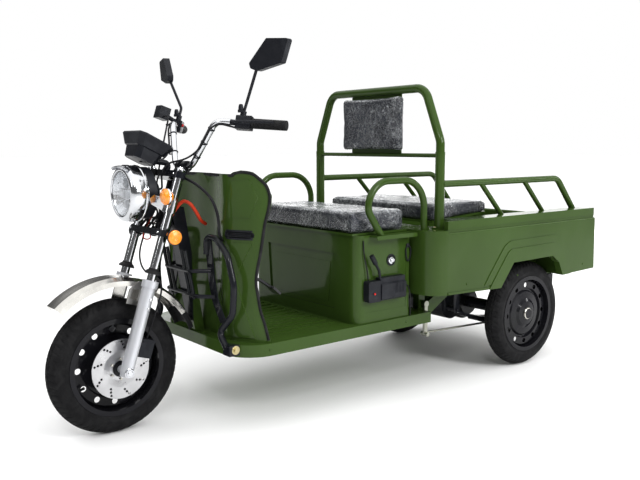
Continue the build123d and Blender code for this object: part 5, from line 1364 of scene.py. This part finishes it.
def make_floor():
    """A plain pale sweep under and behind the object."""
    s = Shader("studio_floor", Specular_IOR_Level=0.2)
    s.colour(s.ramp(s.noise(1.5, 3), (0.3, (0.86, 0.86, 0.86)), (0.7, (0.89, 0.89, 0.89))))
    s.rough(s.noise(3, 3), 0.7, 0.85)
    bm = bmesh.new()
    reach = 60.0
    count = 24
    grid = [[bm.verts.new((-reach + 2 * reach * i / count, -reach + 2 * reach * j / count,
        0)) for j in range(count + 1)]
            for i in range(count + 1)]
    for i in range(count):
        for j in range(count):
            bm.faces.new((grid[i][j], grid[i + 1][j], grid[i + 1][j + 1], grid[i][j + 1]))
    mesh = bpy.data.meshes.new("studio_floor")
    bm.to_mesh(mesh)
    bm.free()
    ob = bpy.data.objects.new("studio_floor", mesh)
    bpy.context.scene.collection.objects.link(ob)
    mesh.materials.append(s.material)


make_floor()


def softbox(name, place, aim, width, height, power, colour=(1, 1, 1)):
    data = bpy.data.lights.new(name, "AREA")
    data.shape = "RECTANGLE"
    data.size = width
    data.size_y = height
    data.energy = power
    data.color = colour
    ob = bpy.data.objects.new(name, data)
    ob.location = place
    ob.rotation_euler = (Vector(aim) - Vector(place)).to_track_quat("-Z", "Y").to_euler()
    ob.visible_camera = False
    bpy.context.scene.collection.objects.link(ob)


softbox("key", (4.6, 0.9, 2.7), (0.2, 0.3, 0.5), 1.2, 1.8, 150)
softbox("front", (0.6, -5.0, 2.8), (0, -0.5, 0.6), 0.6, 1.4, 16)
softbox("glint", (3.6, -3.0, 3.6), (0, 0, 0.6), 0.5, 0.5, 34)
softbox("back", (-4.2, 4.4, 1.4), (0, 0, 0.7), 7.0, 2.4, 80)
softbox("edge", (3.0, 5.2, 2.2), (0.3, 0.6, 0.6), 3.4, 0.35, 44)


def make_world():
    """White surroundings; what glossy surfaces mirror is darker towards the horizon, as in a studio."""
    world = bpy.data.worlds.new("studio")
    bpy.context.scene.world = world
    world.use_nodes = True
    tree = world.node_tree
    seen = tree.nodes["Background"]
    seen.inputs["Color"].default_value = (1, 1, 1, 1)
    seen.inputs["Strength"].default_value = 1.0
    place = tree.nodes.new("ShaderNodeTexCoord")
    split = tree.nodes.new("ShaderNodeSeparateXYZ")
    tree.links.new(place.outputs["Generated"], split.inputs["Vector"])
    tones = tree.nodes.new("ShaderNodeValToRGB")
    stops = ((0.0, 0.20), (0.49, 0.18), (0.52, 0.07), (0.69, 0.10), (0.79, 0.85), (1.0, 1.0))
    elements = tones.color_ramp.elements
    while len(elements) < len(stops):
        elements.new(0.5)
    for element, (at, value) in zip(elements, stops):
        element.position = at
        element.color = (value, value, value, 1)
    half = tree.nodes.new("ShaderNodeMapRange")
    half.inputs["From Min"].default_value = -1
    tree.links.new(split.outputs["Z"], half.inputs["Value"])
    tree.links.new(half.outputs["Result"], tones.inputs["Fac"])
    lit = tree.nodes.new("ShaderNodeBackground")
    lit.inputs["Strength"].default_value = 1.8
    tree.links.new(tones.outputs["Color"], lit.inputs["Color"])
    path = tree.nodes.new("ShaderNodeLightPath")
    mix = tree.nodes.new("ShaderNodeMixShader")
    tree.links.new(path.outputs["Is Camera Ray"], mix.inputs["Fac"])
    tree.links.new(lit.outputs["Background"], mix.inputs[1])
    tree.links.new(seen.outputs["Background"], mix.inputs[2])
    tree.links.new(mix.outputs["Shader"], tree.nodes["World Output"].inputs["Surface"])


make_world()
bpy.context.scene.view_settings.view_transform = "Standard"
# Darkens the middle tones of the render. It belongs to the display and to no material.
bpy.context.scene.view_settings.gamma = 0.90
